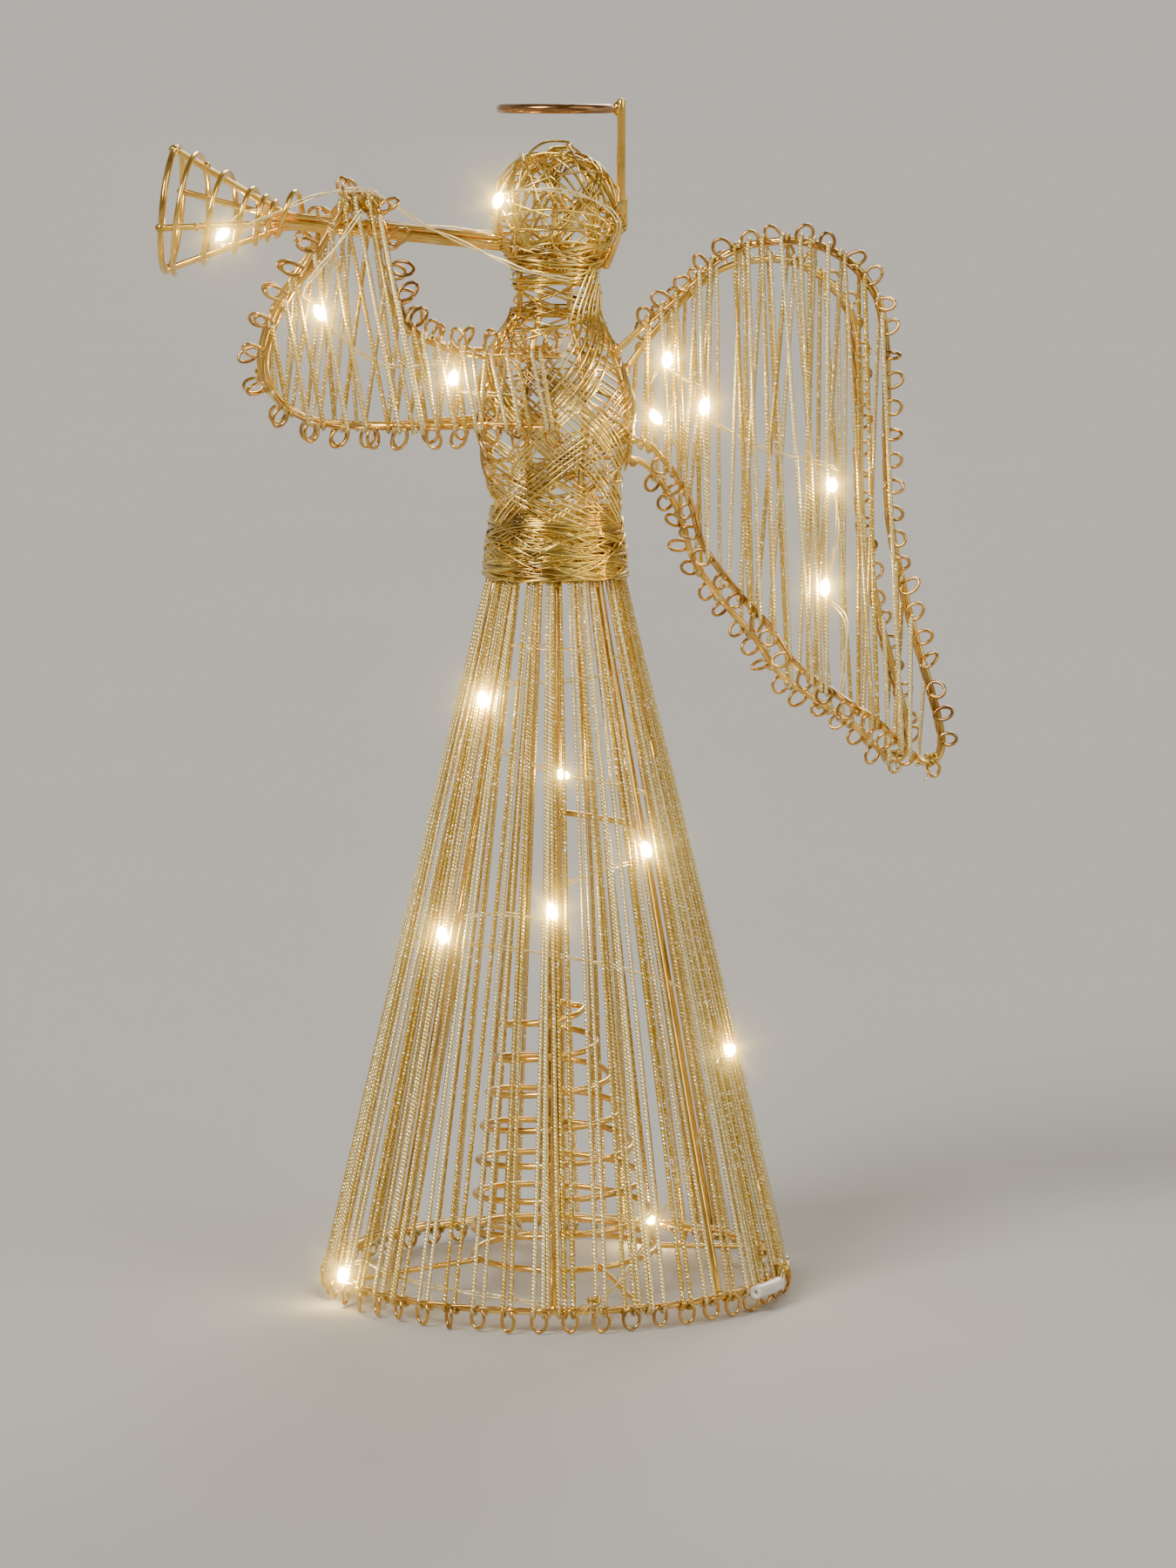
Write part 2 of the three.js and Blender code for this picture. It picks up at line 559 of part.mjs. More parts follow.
const crossbarRadius = legRadius(crossbarZ) - LEG_WIRE / 2 - GAP - COIL_WIRE / 4;
const crossbarEnd = around(legAngle(CROSSBAR_LEG), crossbarRadius, crossbarZ);
coilPoints.push(
  new THREE.Vector3(COIL_LEAN_TOP + COIL_TOP_RADIUS / 2, -COIL_TOP_RADIUS / 2, coilTop + COIL_WIRE),
  new THREE.Vector3(COIL_LEAN_TOP, -STEM_BEND / 2, coilTop + 1.5 * COIL_WIRE),
  new THREE.Vector3(COIL_LEAN_TOP, 0, coilTop + 2 * STEM_BEND),
  new THREE.Vector3(0, 0, stemTop - STEM_BEND),
  crossbarEnd.clone().multiplyScalar(CROSSBAR_BEND).setZ(stemTop),
  crossbarEnd,
);
addPiece("tree_coil", tube(coilPoints, COIL_WIRE / 2, WIRE_SIDES), gold);

// Struts tie the coil's flat turn to the hem ring. Each one lies along the line from the coil's middle.
for (let k = 0; k < STRUT_COUNT; k++) {
  const angle = STRUT_START + (360 * k) / STRUT_COUNT;
  const inner = onCoil(angle, THREE.MathUtils.euclideanModulo(angle - COIL_START, 360) / 360);
  const outer = around(angle, HEM_RADIUS, hemZ);
  const line = outer.clone().sub(inner).normalize();
  inner.addScaledVector(line, COIL_WIRE / 2 + 2 * GAP);
  outer.addScaledVector(line, -HEM_WIRE / 2 - 2 * GAP);
  addPiece("coil_strut_" + (k + 1), tube([inner, outer], STRUT_WIRE / 2, WIRE_SIDES), gold);
}

// Trumpet: four wires run side by side as the tube, then flare out as the ribs of the bell.
const hand = new THREE.Vector3(HAND_X, 0, chestZ + HAND_RISE);
const blow = new THREE.Vector3(-1, 0, 0);
blow.applyAxisAngle(new THREE.Vector3(0, 1, 0), radians(TRUMPET_PITCH));
blow.applyAxisAngle(new THREE.Vector3(0, 0, 1), radians(-TRUMPET_YAW));
const bellUp = new THREE.Vector3(0, 0, 1).addScaledVector(blow, -blow.z).normalize();
const bellSide = blow.clone().cross(bellUp);
const onTrumpet = (degrees, radius, s) =>
  hand.clone().addScaledVector(blow, s)
    .addScaledVector(bellUp, radius * Math.cos(radians(degrees + TRUMPET_ROLL)))
    .addScaledVector(bellSide, radius * Math.sin(radians(degrees + TRUMPET_ROLL)));
const bundle = (TRUMPET_WIRE + GAP) / (2 * Math.sin(Math.PI / TRUMPET_WIRES));
const bundleOuter = bundle + TRUMPET_WIRE / 2;
const head = new THREE.Vector3(0, 0, headZ);
const mouthClear = new THREE.Sphere(head, headWrapRadius + WRAP_WIRE / 2 + GAP + bundleOuter);
const mouth = new THREE.Ray(hand, blow.clone().negate()).intersectSphere(mouthClear, new THREE.Vector3());
const mouthReach = -hand.distanceTo(mouth);
const flare = BELL_REACH - BELL_LENGTH;
const ribAngle = Math.atan2(BELL_RADIUS - bundle, BELL_LENGTH);
const ribStop = TRUMPET_WIRE / 2 + GAP;
const ribEnd = [BELL_RADIUS - ribStop * Math.sin(ribAngle), BELL_REACH - ribStop * Math.cos(ribAngle)];
for (let k = 0; k < TRUMPET_WIRES; k++) {
  const bends = [[bundle, mouthReach], [bundle, flare], ribEnd];
  const points = bends.map(([radius, s]) => onTrumpet((360 * k) / TRUMPET_WIRES, radius, s));
  addPiece("trumpet_wire_" + (k + 1), tube(points, TRUMPET_WIRE / 2, THICK_SIDES), gold);
}
const bellRing = new THREE.TorusGeometry(BELL_RADIUS, TRUMPET_WIRE / 2, WIRE_SIDES, RING_STEPS);
bellRing.applyQuaternion(new THREE.Quaternion().setFromUnitVectors(new THREE.Vector3(0, 0, 1), blow));
addPiece("bell_ring", bellRing.translate(...onTrumpet(0, 0, BELL_REACH).toArray()), gold);

const bellConeRadius = (s) => lerp(bundle, BELL_RADIUS, (s - flare) / BELL_LENGTH);
const spiralLift = (TRUMPET_WIRE / 2 + GAP + SPIRAL_WIRE / 2) / Math.cos(ribAngle);
const spiralPoints = [];
for (let i = 0; i <= SPIRAL_TURNS * WIND_STEPS; i++) {
  const share = i / (SPIRAL_TURNS * WIND_STEPS);
  const s = lerp(BELL_REACH - 2 * TRUMPET_WIRE, flare + 3 * TRUMPET_WIRE, share);
  const radius = facet * (bellConeRadius(s) + spiralLift);
  spiralPoints.push(onTrumpet((360 * i) / WIND_STEPS, radius, s));
}
leastGap("bell spiral", spiralPoints, SPIRAL_WIRE, BELL_RADIUS / 2);
addPiece("bell_spiral", tube(spiralPoints, SPIRAL_WIRE / 2, FINE_SIDES), gold);

// A limb is a frame wire bent to an outline, a curled wire along its outer face, and a thread strung
// across it.
function addLimb(name, outline, loops, from, to, place) {
  const bent = outline.getSpacedPoints(FRAME_STEPS);
  const frame = bent.map((p) => place(p.x, p.y, 0));
  addPiece(name + "_frame", tube(frame, LIMB_WIRE / 2, WIRE_SIDES), gold);
  const off = LIMB_WIRE / 2 + GAP + LOOP_WIRE / 2 + loopCrossing / 2;
  const curls = curledWire(outline, loops, LIMB_RUN_STEPS, LIMB_LOOP_RADIUS, false, place, off);
  leastGap(name + " loops", curls, LOOP_WIRE, 3 * LIMB_LOOP_RADIUS);
  addPiece(name + "_loop_wire", tube(curls, LOOP_WIRE / 2, FINE_SIDES), copperGold);
  const inset = LIMB_WIRE / 2 + 1.5 * GAP + THREAD / 2;
  const strung = strungThread(bent, from, to, inset, place);
  leastGap(name + " thread", strung, THREAD, 3 * THREAD);
  addPiece(name + "_thread", tube(strung, THREAD / 2, FINE_SIDES), thread);
}

// Sleeves bow outwards from the hands, where they hold the trumpet, to their seats on the chest ribs, and
// run on straight across the chest.
const handY = bundleOuter + GAP + LIMB_WIRE / 2;
const seatReach = (rise) => ribRadius(rise) + CAGE_WIRE / 2 + GAP + LIMB_WIRE / 2;
const sleeveSeat = around(-ribAngleAt(0), seatReach(CHEST_RISE + SLEEVE_SEAT_LOW), 0);
const seatRun = sleeveSeat.x - HAND_X;
const bow = (d) => Math.hypot(d, HAND_BEND) - HAND_BEND;
const sleeveSpread = (-sleeveSeat.y - handY - SLEEVE_SKEW * seatRun) / bow(seatRun);
const sleevePlace = (side) => (x, z, off) => {
  const d = Math.min(x, sleeveSeat.x) - HAND_X;
  const slope = (sleeveSpread * d) / Math.hypot(d, HAND_BEND) + SLEEVE_SKEW;
  const y = handY + sleeveSpread * bow(d) + SLEEVE_SKEW * d + off * Math.hypot(1, slope);
  return new THREE.Vector3(x, side * y, chestZ + z);
};
for (const [name, side, shift] of [["left_sleeve", -1, 0], ["right_sleeve", 1, RIGHT_SLEEVE_SHIFT]]) {
  const middle = SLEEVE_OUTLINE.map(([x, z]) => new THREE.Vector2(x + shift, z));
  const run = (z) => [0, SLEEVE_OVERLAP].map((past) => new THREE.Vector2(sleeveSeat.x + past, z));
  const bends = [...run(SLEEVE_SEAT_HIGH).reverse(), ...middle, ...run(SLEEVE_SEAT_LOW)];
  const outline = new THREE.SplineCurve(bends.reverse()); // so that the curls turn outwards
  const reach = Math.min(...middle.map((p) => p.x)) + STRING_MARGIN;
  addLimb(name, outline, SLEEVE_LOOPS, reach, sleeveSeat.x - STRING_MARGIN, sleevePlace(side));
}

// Wings stand on the ribs at either side of the back, each turned outwards by its own yaw.
const wingSeatRise = ({ drop }) => CHEST_RISE + WING_SEAT_LOW - drop;
function wingPlace(wing) {
  const { side, yaw, drop } = wing;
  const [c, s] = [Math.cos(radians(yaw)), Math.sin(radians(yaw))];
  const root = around(ribAngleAt(1), seatReach(wingSeatRise(wing)), 0);
  return (u, z, off) => {
    const y = -root.y + u * s + off * c;
    return new THREE.Vector3(root.x + u * c - off * s, side * y, chestZ + z - drop);
  };
}
for (const [arm, wing] of Object.entries(WINGS)) {
  const highSeat = seatReach(CHEST_RISE + WING_SEAT_HIGH - wing.drop) - seatReach(wingSeatRise(wing));
  const seats = [new THREE.Vector2(highSeat, WING_SEAT_HIGH), new THREE.Vector2(0, WING_SEAT_LOW)];
  const middle = WING_OUTLINE.map(([u, z]) => new THREE.Vector2(u, z));
  const outline = new THREE.SplineCurve([seats[0], ...middle, seats[1]]);
  const reach = Math.max(...WING_OUTLINE.map(([u]) => u)) - STRING_MARGIN;
  addLimb(arm + "_wing", outline, WING_LOOPS, 2 * STRING_MARGIN, reach, wingPlace(wing));
}

// Clear sleeve outside the threads at the hem, over the joint where the light string's lead begins.
const leadRadius = threadHemRadius + THREAD / 2 + GAP + LEAD_SLEEVE / 2;
const leadArc = (from, to, steps) =>
  Array.from({ length: steps + 1 }, (_, i) => around(lerp(from, to, i / steps), leadRadius, hemZ));
const leadCore = leadArc(LEAD_SLEEVE_FROM, LEAD_SLEEVE_TO, LEAD_STEPS);
const boreCore = leadArc(LEAD_SLEEVE_FROM - 1, LEAD_SLEEVE_TO + 1, LEAD_STEPS + 2);
const leadBore = tube(boreCore, LEAD_SLEEVE_BORE / 2, THICK_SIDES);
addPiece("lead_sleeve", cut(tube(leadCore, LEAD_SLEEVE / 2, THICK_SIDES), leadBore), clear);

// Light string in the skirt: out of the clear sleeve, round inside the hem, then up in a spiral along
// the inner side of the legs.
const hangRadius = (z, size) => legRadius(z) - LEG_WIRE / 2 - GAP - size / 2;
const hemRunZ = hemZ + STRUT_WIRE + GAP;
const leadEnd = LEAD_SLEEVE_TO + THREE.MathUtils.radToDeg(GAP / leadRadius);
const entry = LEAD_SLEEVE_TO + LEAD_ENTRY;
const skirtRoute = [
  around(leadEnd, leadRadius, hemZ),
  around(leadEnd + LEAD_BEND, leadRadius, hemZ),
  around(entry, threadHemRadius, hemZ + LEAD_RISE),
  around(entry + LEAD_CROSSING, hangRadius(legFootZ, BEAD), hemZ + LEAD_RISE),
  around(HEM_RUN.from, hangRadius(legFootZ, LIGHT_WIRE), hemRunZ),
];
const skirtStops = [
  ...HEM_LIGHTS.map((degrees) => ({ degrees, z: hemRunZ, lit: true })),
  { degrees: HEM_RUN.to, z: hemRunZ, lit: false },
  ...SKIRT_LIGHTS.map(([degrees, share]) => ({ degrees, z: hemZ + SKIRT_HEIGHT * share, lit: true })),
];
const skirtLit = [];
let stopped = { degrees: HEM_RUN.from, z: hemRunZ };
for (const stop of skirtStops) {
  const steps = Math.ceil((stop.degrees - stopped.degrees) / STOP_STEP);
  for (let k = 1; k <= steps; k++) {
    const lit = stop.lit && k === steps;
    const z = lerp(stopped.z, stop.z, k / steps);
    const radius = hangRadius(Math.max(z, legFootZ), lit ? BEAD : LIGHT_WIRE);
    if (lit) skirtLit.push(skirtRoute.length);
    skirtRoute.push(around(lerp(stopped.degrees, stop.degrees, k / steps), radius, z));
  }
  stopped = stop;
}
addPiece("skirt_lights", lightString(skirtRoute, skirtLit), lights);

// Light string on the head: from a light on the brow, down to the trumpet, along its top and into the
// bell.
const onHead = (degrees, rise, clearance) => {
  const radius = headWrapRadius + WRAP_WIRE / 2 + GAP + clearance;
  return around(degrees, Math.sqrt(radius ** 2 - rise ** 2), headZ + rise);
};
const rideOn = bundleOuter + GAP + LIGHT_WIRE / 2;
const inGroove = (s) => onTrumpet(45, rideOn - GAP, s);
const trumpetRoute = [
  onHead(-44, 6, BEAD / 2),
  onHead(-48, 2.4, BEAD / 2),
  onHead(-52, -1.5, BEAD / 2),
  onHead(-60, -6, LIGHT_WIRE),
  onTrumpet(-30, rideOn + 1, mouthReach + 2),
  onTrumpet(0, rideOn, mouthReach + 8),
  ...[-12, 0, 12, flare, flare + 7].map(inGroove),
  onTrumpet(90, 3, flare + 12),
  onTrumpet(135, 5.5, BELL_REACH - 17),
  onTrumpet(135, 6.5, BELL_REACH - 13),
];
addPiece("trumpet_lights", lightString(trumpetRoute, [1, trumpetRoute.length - 1]), lights);

// Light strings in the left sleeve and both wings lie against the inner face of the threads.
const behind = -(THREAD / 2 + GAP + BEAD / 2);
function addLimbLights(name, place, route, lit) {
  addPiece(name, lightString(route.map(([x, z]) => place(x, z, behind)), lit), lights);
}
const sleeveRoute = [[sleeveSeat.x - LIGHT_MARGIN, 7], [-29.4, 8.4], [-50, 12], [-68.3, 26.3], [-73, 29.5]];
addLimbLights("left_sleeve_lights", sleevePlace(-1), sleeveRoute, [1, 3]);
const leftWingRoute = [
  [5, 6], [13.4, 13.3], [20.6, -0.5], [40, -12], [61.4, -22.1], [60.5, -38], [56.8, -52.8], [56.4, -58],
];
addLimbLights("left_wing_lights", wingPlace(WINGS.left), leftWingRoute, [1, 2, 4, 6]);
const rightWingRoute = [[4, 8], [9, 2], [15, -6]];
addLimbLights("right_wing_lights", wingPlace(WINGS.right), rightWingRoute, [1]);

export default topper;
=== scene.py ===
# Angel tree topper, as it looks: a welded gold wire angel that blows a trumpet, wound with fine wire,
# strung with metallic thread and lit by strings of micro lights.
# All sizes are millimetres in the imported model's frame. add_piece() turns them into metres.
import bpy
import numpy as np
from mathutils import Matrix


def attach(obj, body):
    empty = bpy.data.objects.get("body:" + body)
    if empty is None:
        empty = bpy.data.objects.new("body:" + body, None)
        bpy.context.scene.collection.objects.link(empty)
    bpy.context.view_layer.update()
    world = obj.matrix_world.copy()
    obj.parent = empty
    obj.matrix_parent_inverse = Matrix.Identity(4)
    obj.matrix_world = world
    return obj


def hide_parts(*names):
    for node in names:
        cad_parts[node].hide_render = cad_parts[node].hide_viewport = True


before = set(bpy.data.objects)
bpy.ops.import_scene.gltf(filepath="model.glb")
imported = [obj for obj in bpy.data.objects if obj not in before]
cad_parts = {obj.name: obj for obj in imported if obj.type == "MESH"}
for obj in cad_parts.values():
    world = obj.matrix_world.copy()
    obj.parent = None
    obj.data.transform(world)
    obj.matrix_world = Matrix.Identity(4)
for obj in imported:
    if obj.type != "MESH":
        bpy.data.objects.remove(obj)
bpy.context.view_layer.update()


# ---- Hem ring ----------------------------------------------------------------------------------
# A plain ring of 2 mm steel wire, bent round and butt welded, then lacquered antique gold. The legs
# stand on it, and the curls and the threads are carried by it.
HEM_RADIUS, HEM_Z, HEM_WIRE, HEM_JOINT = 67.0, 6.4, 2.0, 200


def around(degrees, radius, z):
    """Points at a compass angle: radius * (sin, -cos) at height z. 0 degrees is -Y and 90 is +X."""
    angle, radius, z = np.broadcast_arrays(np.radians(degrees), radius, z)
    return np.stack([radius * np.sin(angle), -radius * np.cos(angle), z], axis=-1)


def whole_turn(steps):
    """Compass angles of a whole turn, in equal steps."""
    return np.linspace(0, 360, steps, endpoint=False)


def unit(vectors):
    """Vectors divided by their own lengths."""
    return vectors / np.linalg.norm(vectors, axis=-1, keepdims=True)


def wire(paths, diameter, sides=12, upright=(0, 0, 1), closed=False):
    """Round wire along each path: centre + radius * (cos a * n + sin a * b), where n is the upright
    direction made square to the path and b is square to both. Open ends are domed.
    Gives corners, patches of faces with their UV (length along, share of a turn), and strand numbers."""
    paths = np.asarray(paths, float)
    paths = paths.reshape((-1,) + paths.shape[-2:])
    if closed:
        run = unit(np.roll(paths, -1, 1) - np.roll(paths, 1, 1))
    else:
        run = unit(np.gradient(paths, axis=1))
    radius = np.broadcast_to(np.asarray(diameter, float) / 2, paths.shape[:2])
    upright = np.broadcast_to(np.asarray(upright, float), paths.shape)
    if not closed:
        paths, run, radius, upright = (
            np.pad(a, [(0, 0), (2, 2)] + [(0, 0)] * (a.ndim - 2), mode="edge")
            for a in (paths, run, radius, upright))
        dome, taper = np.zeros(paths.shape[1]), np.ones(paths.shape[1])
        dome[[0, 1, -2, -1]] = -0.5, -0.3, 0.3, 0.5
        taper[[0, 1, -2, -1]] = 0.35, 0.8, 0.8, 0.35
        paths = paths + run * (radius * dome)[..., None]
        radius = radius * taper
    normal = unit(upright - (upright * run).sum(-1, keepdims=True) * run)
    turn = np.linspace(0, 2 * np.pi, sides, endpoint=False)[:, None]
    spoke = np.cos(turn) * normal[:, :, None] + np.sin(turn) * np.cross(run, normal)[:, :, None]
    corners = paths[:, :, None] + radius[:, :, None, None] * spoke
    count, rings = paths.shape[:2]
    spans = rings if closed else rings - 1
    index = np.arange(count * rings * sides).reshape(count, rings, sides)
    here, ahead = index[:, :spans], np.roll(index, -1, 1)[:, :spans]
    quads = np.stack([here, np.roll(here, -1, 2), np.roll(ahead, -1, 2), ahead], -1)
    step = np.linalg.norm(np.roll(paths, -1, 1) - paths, axis=-1)
    start = np.cumsum(step, 1) - step
    along = np.stack([start, start, start + step, start + step], -1)[:, :spans, None]
    share = np.arange(sides) / sides
    round_it = np.stack([share, share + 1 / sides, share + 1 / sides, share], -1)
    patches = [(quads.reshape(-1, 4), np.stack(np.broadcast_arrays(along, round_it), -1).reshape(-1, 2))]
    if not closed:
        for end, reached in ((index[:, 0, ::-1], start[:, 0]), (index[:, -1], start[:, -1])):
            patches.append((end, np.stack(np.broadcast_arrays(reached[:, None], share), -1).reshape(-1, 2)))
    return corners.reshape(-1, 3), patches, np.repeat(np.arange(count), rings * sides)


def blobs(centres, along, length, width, sides=10):
    """Egg shapes: a wire whose diameter is width * sin t while it runs length / 2 * -cos t along. The
    wire's domed ends make the tips."""
    tip = 0.25
    t = np.linspace(tip, np.pi - tip, 7)
    pair = np.broadcast_arrays(np.asarray(centres, float), unit(np.asarray(along, float)))
    centres, along = (a.reshape(-1, 1, 3) for a in pair)
    across = np.where(np.abs(along[..., 2:]) > 0.7, (1.0, 0.0, 0.0), (0.0, 0.0, 1.0))
    return wire(centres - along * (np.cos(t) * length / 2)[:, None], width * np.sin(t), sides, across)


class Shade:
    """A socket of a finish's node tree. Arithmetic on values adds Math nodes."""

    def __init__(self, tree, output=None):
        self.tree, self.output = tree, output

    def node(self, kind, settings=(), inputs=(), output=0):
        """Adds a node: first its settings, then the values or links of its sockets."""
        made = self.tree.nodes.new(kind)
        for key, value in dict(settings).items():
            setattr(made, key, value)
        for key, value in dict(inputs).items():
            if isinstance(value, Shade):
                self.tree.links.new(value.output, made.inputs[key])
            else:
                made.inputs[key].default_value = value
        return Shade(self.tree, made.outputs[output]) if made.outputs else None

    def other(self, output):
        """Another output of the same node."""
        return Shade(self.tree, self.output.node.outputs[output])

    def maths(self, operation, *values):
        return self.node("ShaderNodeMath", {"operation": operation}, dict(enumerate(values)))

    def __add__(self, other):
        return self.maths("ADD", self, other)

    def __sub__(self, other):
        return self.maths("SUBTRACT", self, other)

    def __rsub__(self, other):
        return self.maths("SUBTRACT", other, self)

    def __mul__(self, other):
        return self.maths("MULTIPLY", self, other)

    __radd__, __rmul__ = __add__, __mul__

    def within(self, low, high):
        """0 at low, 1 at high, straight between and level beyond."""
        return self.node("ShaderNodeMapRange", {}, {"Value": self, "From Min": low, "From Max": high})

    def tint(self, first, second):
        """Colour that goes from the first to the second as this value goes from 0 to 1."""
        return self.node("ShaderNodeMix", {"data_type": "RGBA"}, {0: self, 6: first, 7: second}, 2)


def new_finish(name):
    """An empty node material, and a handle to build its nodes with."""
    material = bpy.data.materials.new(name)
    material.use_nodes = True
    material.node_tree.nodes.clear()
    return material, Shade(material.node_tree)


def noise(shade, scale, detail=2.0):
    """Cloudy noise over the model's own coordinates, which are metres."""
    place = shade.node("ShaderNodeTexCoord", output="Object")
    return shade.node("ShaderNodeTexNoise", {}, {"Vector": place, "Scale": scale, "Detail": detail})


def cover(shade, inputs):
    """Ends a finish with a surface that has these inputs."""
    surface = shade.node("ShaderNodeBsdfPrincipled", {}, inputs)
    shade.node("ShaderNodeOutputMaterial", {}, {"Surface": surface})


def lacquered_wire(name, slot, tarnish, body, worn, roughness, variety=0.0):
    """Lacquered metal wire: cloudy tarnish, pale streaks drawn along the wire, fine specks in the gloss.
    With some variety, the strands whose number falls in the upper half are darker by up to that share."""
    material, shade = new_finish(name)
    cloud, speck = noise(shade, 55.0, 3.0), noise(shade, 1300.0)
    length = shade.node("ShaderNodeUVMap", {"uv_map": "UVMap"})
    drawn_out = shade.node("ShaderNodeVectorMath", {"operation": "MULTIPLY"},
                           {0: length, 1: (0.12, 7.0, 0.0)})
    drawn = shade.node("ShaderNodeTexNoise", {"noise_dimensions": "2D"},
                       {"Vector": drawn_out, "Scale": 1.0, "Detail": 4.0})
    strand = shade.node("ShaderNodeAttribute", {"attribute_name": "strand"}, {}, "Fac")
    tone = (cloud.within(0.28, 0.52) * (1 - strand.within(0.5, 0.9) * variety)).tint(tarnish, body)
    tone = (drawn.within(0.5, 0.75) * 0.55).tint(tone, worn)
    relief = shade.node("ShaderNodeBump", {}, {"Height": drawn * 0.6 + speck * 0.4,
                                               "Strength": 0.22, "Distance": 0.0001})
    cover(shade, {"Base Color": tone, "Metallic": 1.0, "Roughness": roughness + speck * 0.14 + drawn * 0.06,
                  "Coat Weight": 0.25, "Coat Roughness": 0.12, "Normal": relief})
    return material, slot


def add_piece(name, surfaces, finish, *nodes):
    """One smooth mesh of all the surfaces, in metres, that rides on the frame and stands for the nodes.
    The finish is a material and its slot, and the slot is not used. Each strand gets a number of its own
    between 0 and 1."""
    material, slot = finish
    base = np.cumsum([0] + [len(corners) for corners, _, _ in surfaces])
    patches = [(faces + first, uv) for first, (_, group, _) in zip(base, surfaces) for faces, uv in group]
    sizes = np.concatenate([np.full(len(faces), faces.shape[1]) for faces, _ in patches])
    corners = np.concatenate([corners for corners, _, _ in surfaces]) * 0.001
    strands = np.concatenate([strand for _, _, strand in surfaces])
    golden_share = 0.618034
    mesh = bpy.data.meshes.new(name)
    mesh.vertices.add(len(corners))
    mesh.vertices.foreach_set("co", corners.ravel().astype(np.float32))
    mesh.loops.add(int(sizes.sum()))
    picked = np.concatenate([faces.ravel() for faces, _ in patches])
    mesh.loops.foreach_set("vertex_index", picked.astype(np.int32))
    mesh.polygons.add(len(sizes))
    mesh.polygons.foreach_set("loop_start", (np.cumsum(sizes) - sizes).astype(np.int32))
    uv = np.concatenate([uv for _, uv in patches]).astype(np.float32)
    mesh.uv_layers.new(name="UVMap").data.foreach_set("uv", uv.ravel())
    numbers = mesh.attributes.new("strand", "FLOAT", "POINT")
    numbers.data.foreach_set("value", (strands * golden_share % 1).astype(np.float32))
    mesh.update(calc_edges=True)
    mesh.validate()
    mesh.shade_smooth()
    mesh.materials.append(material)
    piece = bpy.data.objects.new(name, mesh)
    bpy.context.scene.collection.objects.link(piece)
    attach(piece, "root")
    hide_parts(*nodes)


antique_gold = lacquered_wire("antique_gold_wire", "frame_wire", (0.34, 0.165, 0.026, 1),
                              (1.0, 0.64, 0.13, 1), (1.0, 0.90, 0.47, 1), 0.1)
hem_ring = wire(around(whole_turn(240), HEM_RADIUS, HEM_Z), HEM_WIRE, closed=True)
hem_weld = blobs(around(HEM_JOINT, HEM_RADIUS, HEM_Z), around(HEM_JOINT + 90, 1, 0), length=3.0, width=2.7)
add_piece("hem_ring_wire", [hem_ring, hem_weld], antique_gold, "hem_ring")


# ---- Skirt legs --------------------------------------------------------------------------------
# Eight almost straight lengths of 2.3 mm wire, the same lacquered steel as the hem. Each is welded to
# the hem ring at its foot and under the waist ring at its top, with a small bead of weld at both.
LEG_WIRE, LEG_FOOT, LEG_TOP, LEGS = 2.3, 6.9, 211.6, 8
SLOPE_FOOT, SLOPE_TOP = 7.97, 210.93
WAIST_Z, WAIST_RADIUS = 212.4, 17.8


def leg_radius(z):
    """Distance of the legs' middle from the axis: a straight slope from the hem ring to the waist ring."""
    return np.interp(z, (SLOPE_FOOT, SLOPE_TOP), (HEM_RADIUS, WAIST_RADIUS - 0.3))


leg_z = np.linspace(LEG_FOOT, LEG_TOP, 24)
bead_reach, bead_z = (67.2, 17.7), (7.3, 211.3)
for k in range(LEGS):
    at = 360 / LEGS * k
    sway = 0.22 * np.sin(leg_z / 31 + 2.4 * k)
    leg = wire(around(at + sway, leg_radius(leg_z), leg_z), LEG_WIRE, 14, around(at + 90, 1, 0))
    beads = blobs(around(at, bead_reach, bead_z), around(at + 90, 1, 0), length=3.4, width=2.9)
    add_piece(f"leg_wire_{k + 1}", [leg, beads], antique_gold, f"skirt_leg_{k + 1}")


# ---- Hem curls ---------------------------------------------------------------------------------
# One thin copper-coloured wire that runs along the outside of the hem ring and hangs down in a curl
# every 9 mm. The curls are half turned, like the turns of a stretched spring.
CURL_WIRE, HEM_CURLS = 1.0, 48
CURL_SPACING, CURL_PASS = 360 / HEM_CURLS, 0.62
curl_line, curl_z = HEM_RADIUS + 1.75, HEM_Z + 0.75


def from_axis(points):
    """Directions square out from the axis."""
    return unit(points * (1, 1, 0))


copper_curl = lacquered_wire("copper_curl_wire", "curl_wire", (0.20, 0.085, 0.014, 1), (0.70, 0.39, 0.08, 1),
                             (1.0, 0.77, 0.34, 1), 0.11)
chance = np.random.default_rng(7)
curl_angles = CURL_SPACING * np.arange(HEM_CURLS)[:, None] + CURL_SPACING / 2
curl_turn = np.linspace(0, 2 * np.pi, 22)
half_height = 3.15 + 0.16 * chance.standard_normal((HEM_CURLS, 1)).clip(-1, 0.8)
half_width = 2.25 + 0.2 * chance.standard_normal((HEM_CURLS, 1))
half_turn = np.radians(34 + 13 * chance.standard_normal((HEM_CURLS, 1)))
forward = half_width * np.sin(curl_turn)
down = half_height * (1 - np.cos(curl_turn))
passing = CURL_PASS * (curl_turn / np.pi - 1)
hang = around(curl_angles + np.degrees(forward * np.cos(half_turn) / HEM_RADIUS),
              curl_line + forward * np.sin(half_turn) + passing, curl_z - down)
run_share = np.linspace(0, 1, 7)[1:-1]
along_ring = around(curl_angles + CURL_SPACING * run_share,
                    curl_line - CURL_PASS * np.cos(np.pi * (1 - run_share)),
                    curl_z + 0.25 * np.sin(np.pi * run_share))
curls = np.concatenate([hang, along_ring], axis=1).reshape(-1, 3)
add_piece("hem_curl_wire", [wire(curls, CURL_WIRE, 8, from_axis(curls), closed=True)], copper_curl,
          "hem_loop_wire")


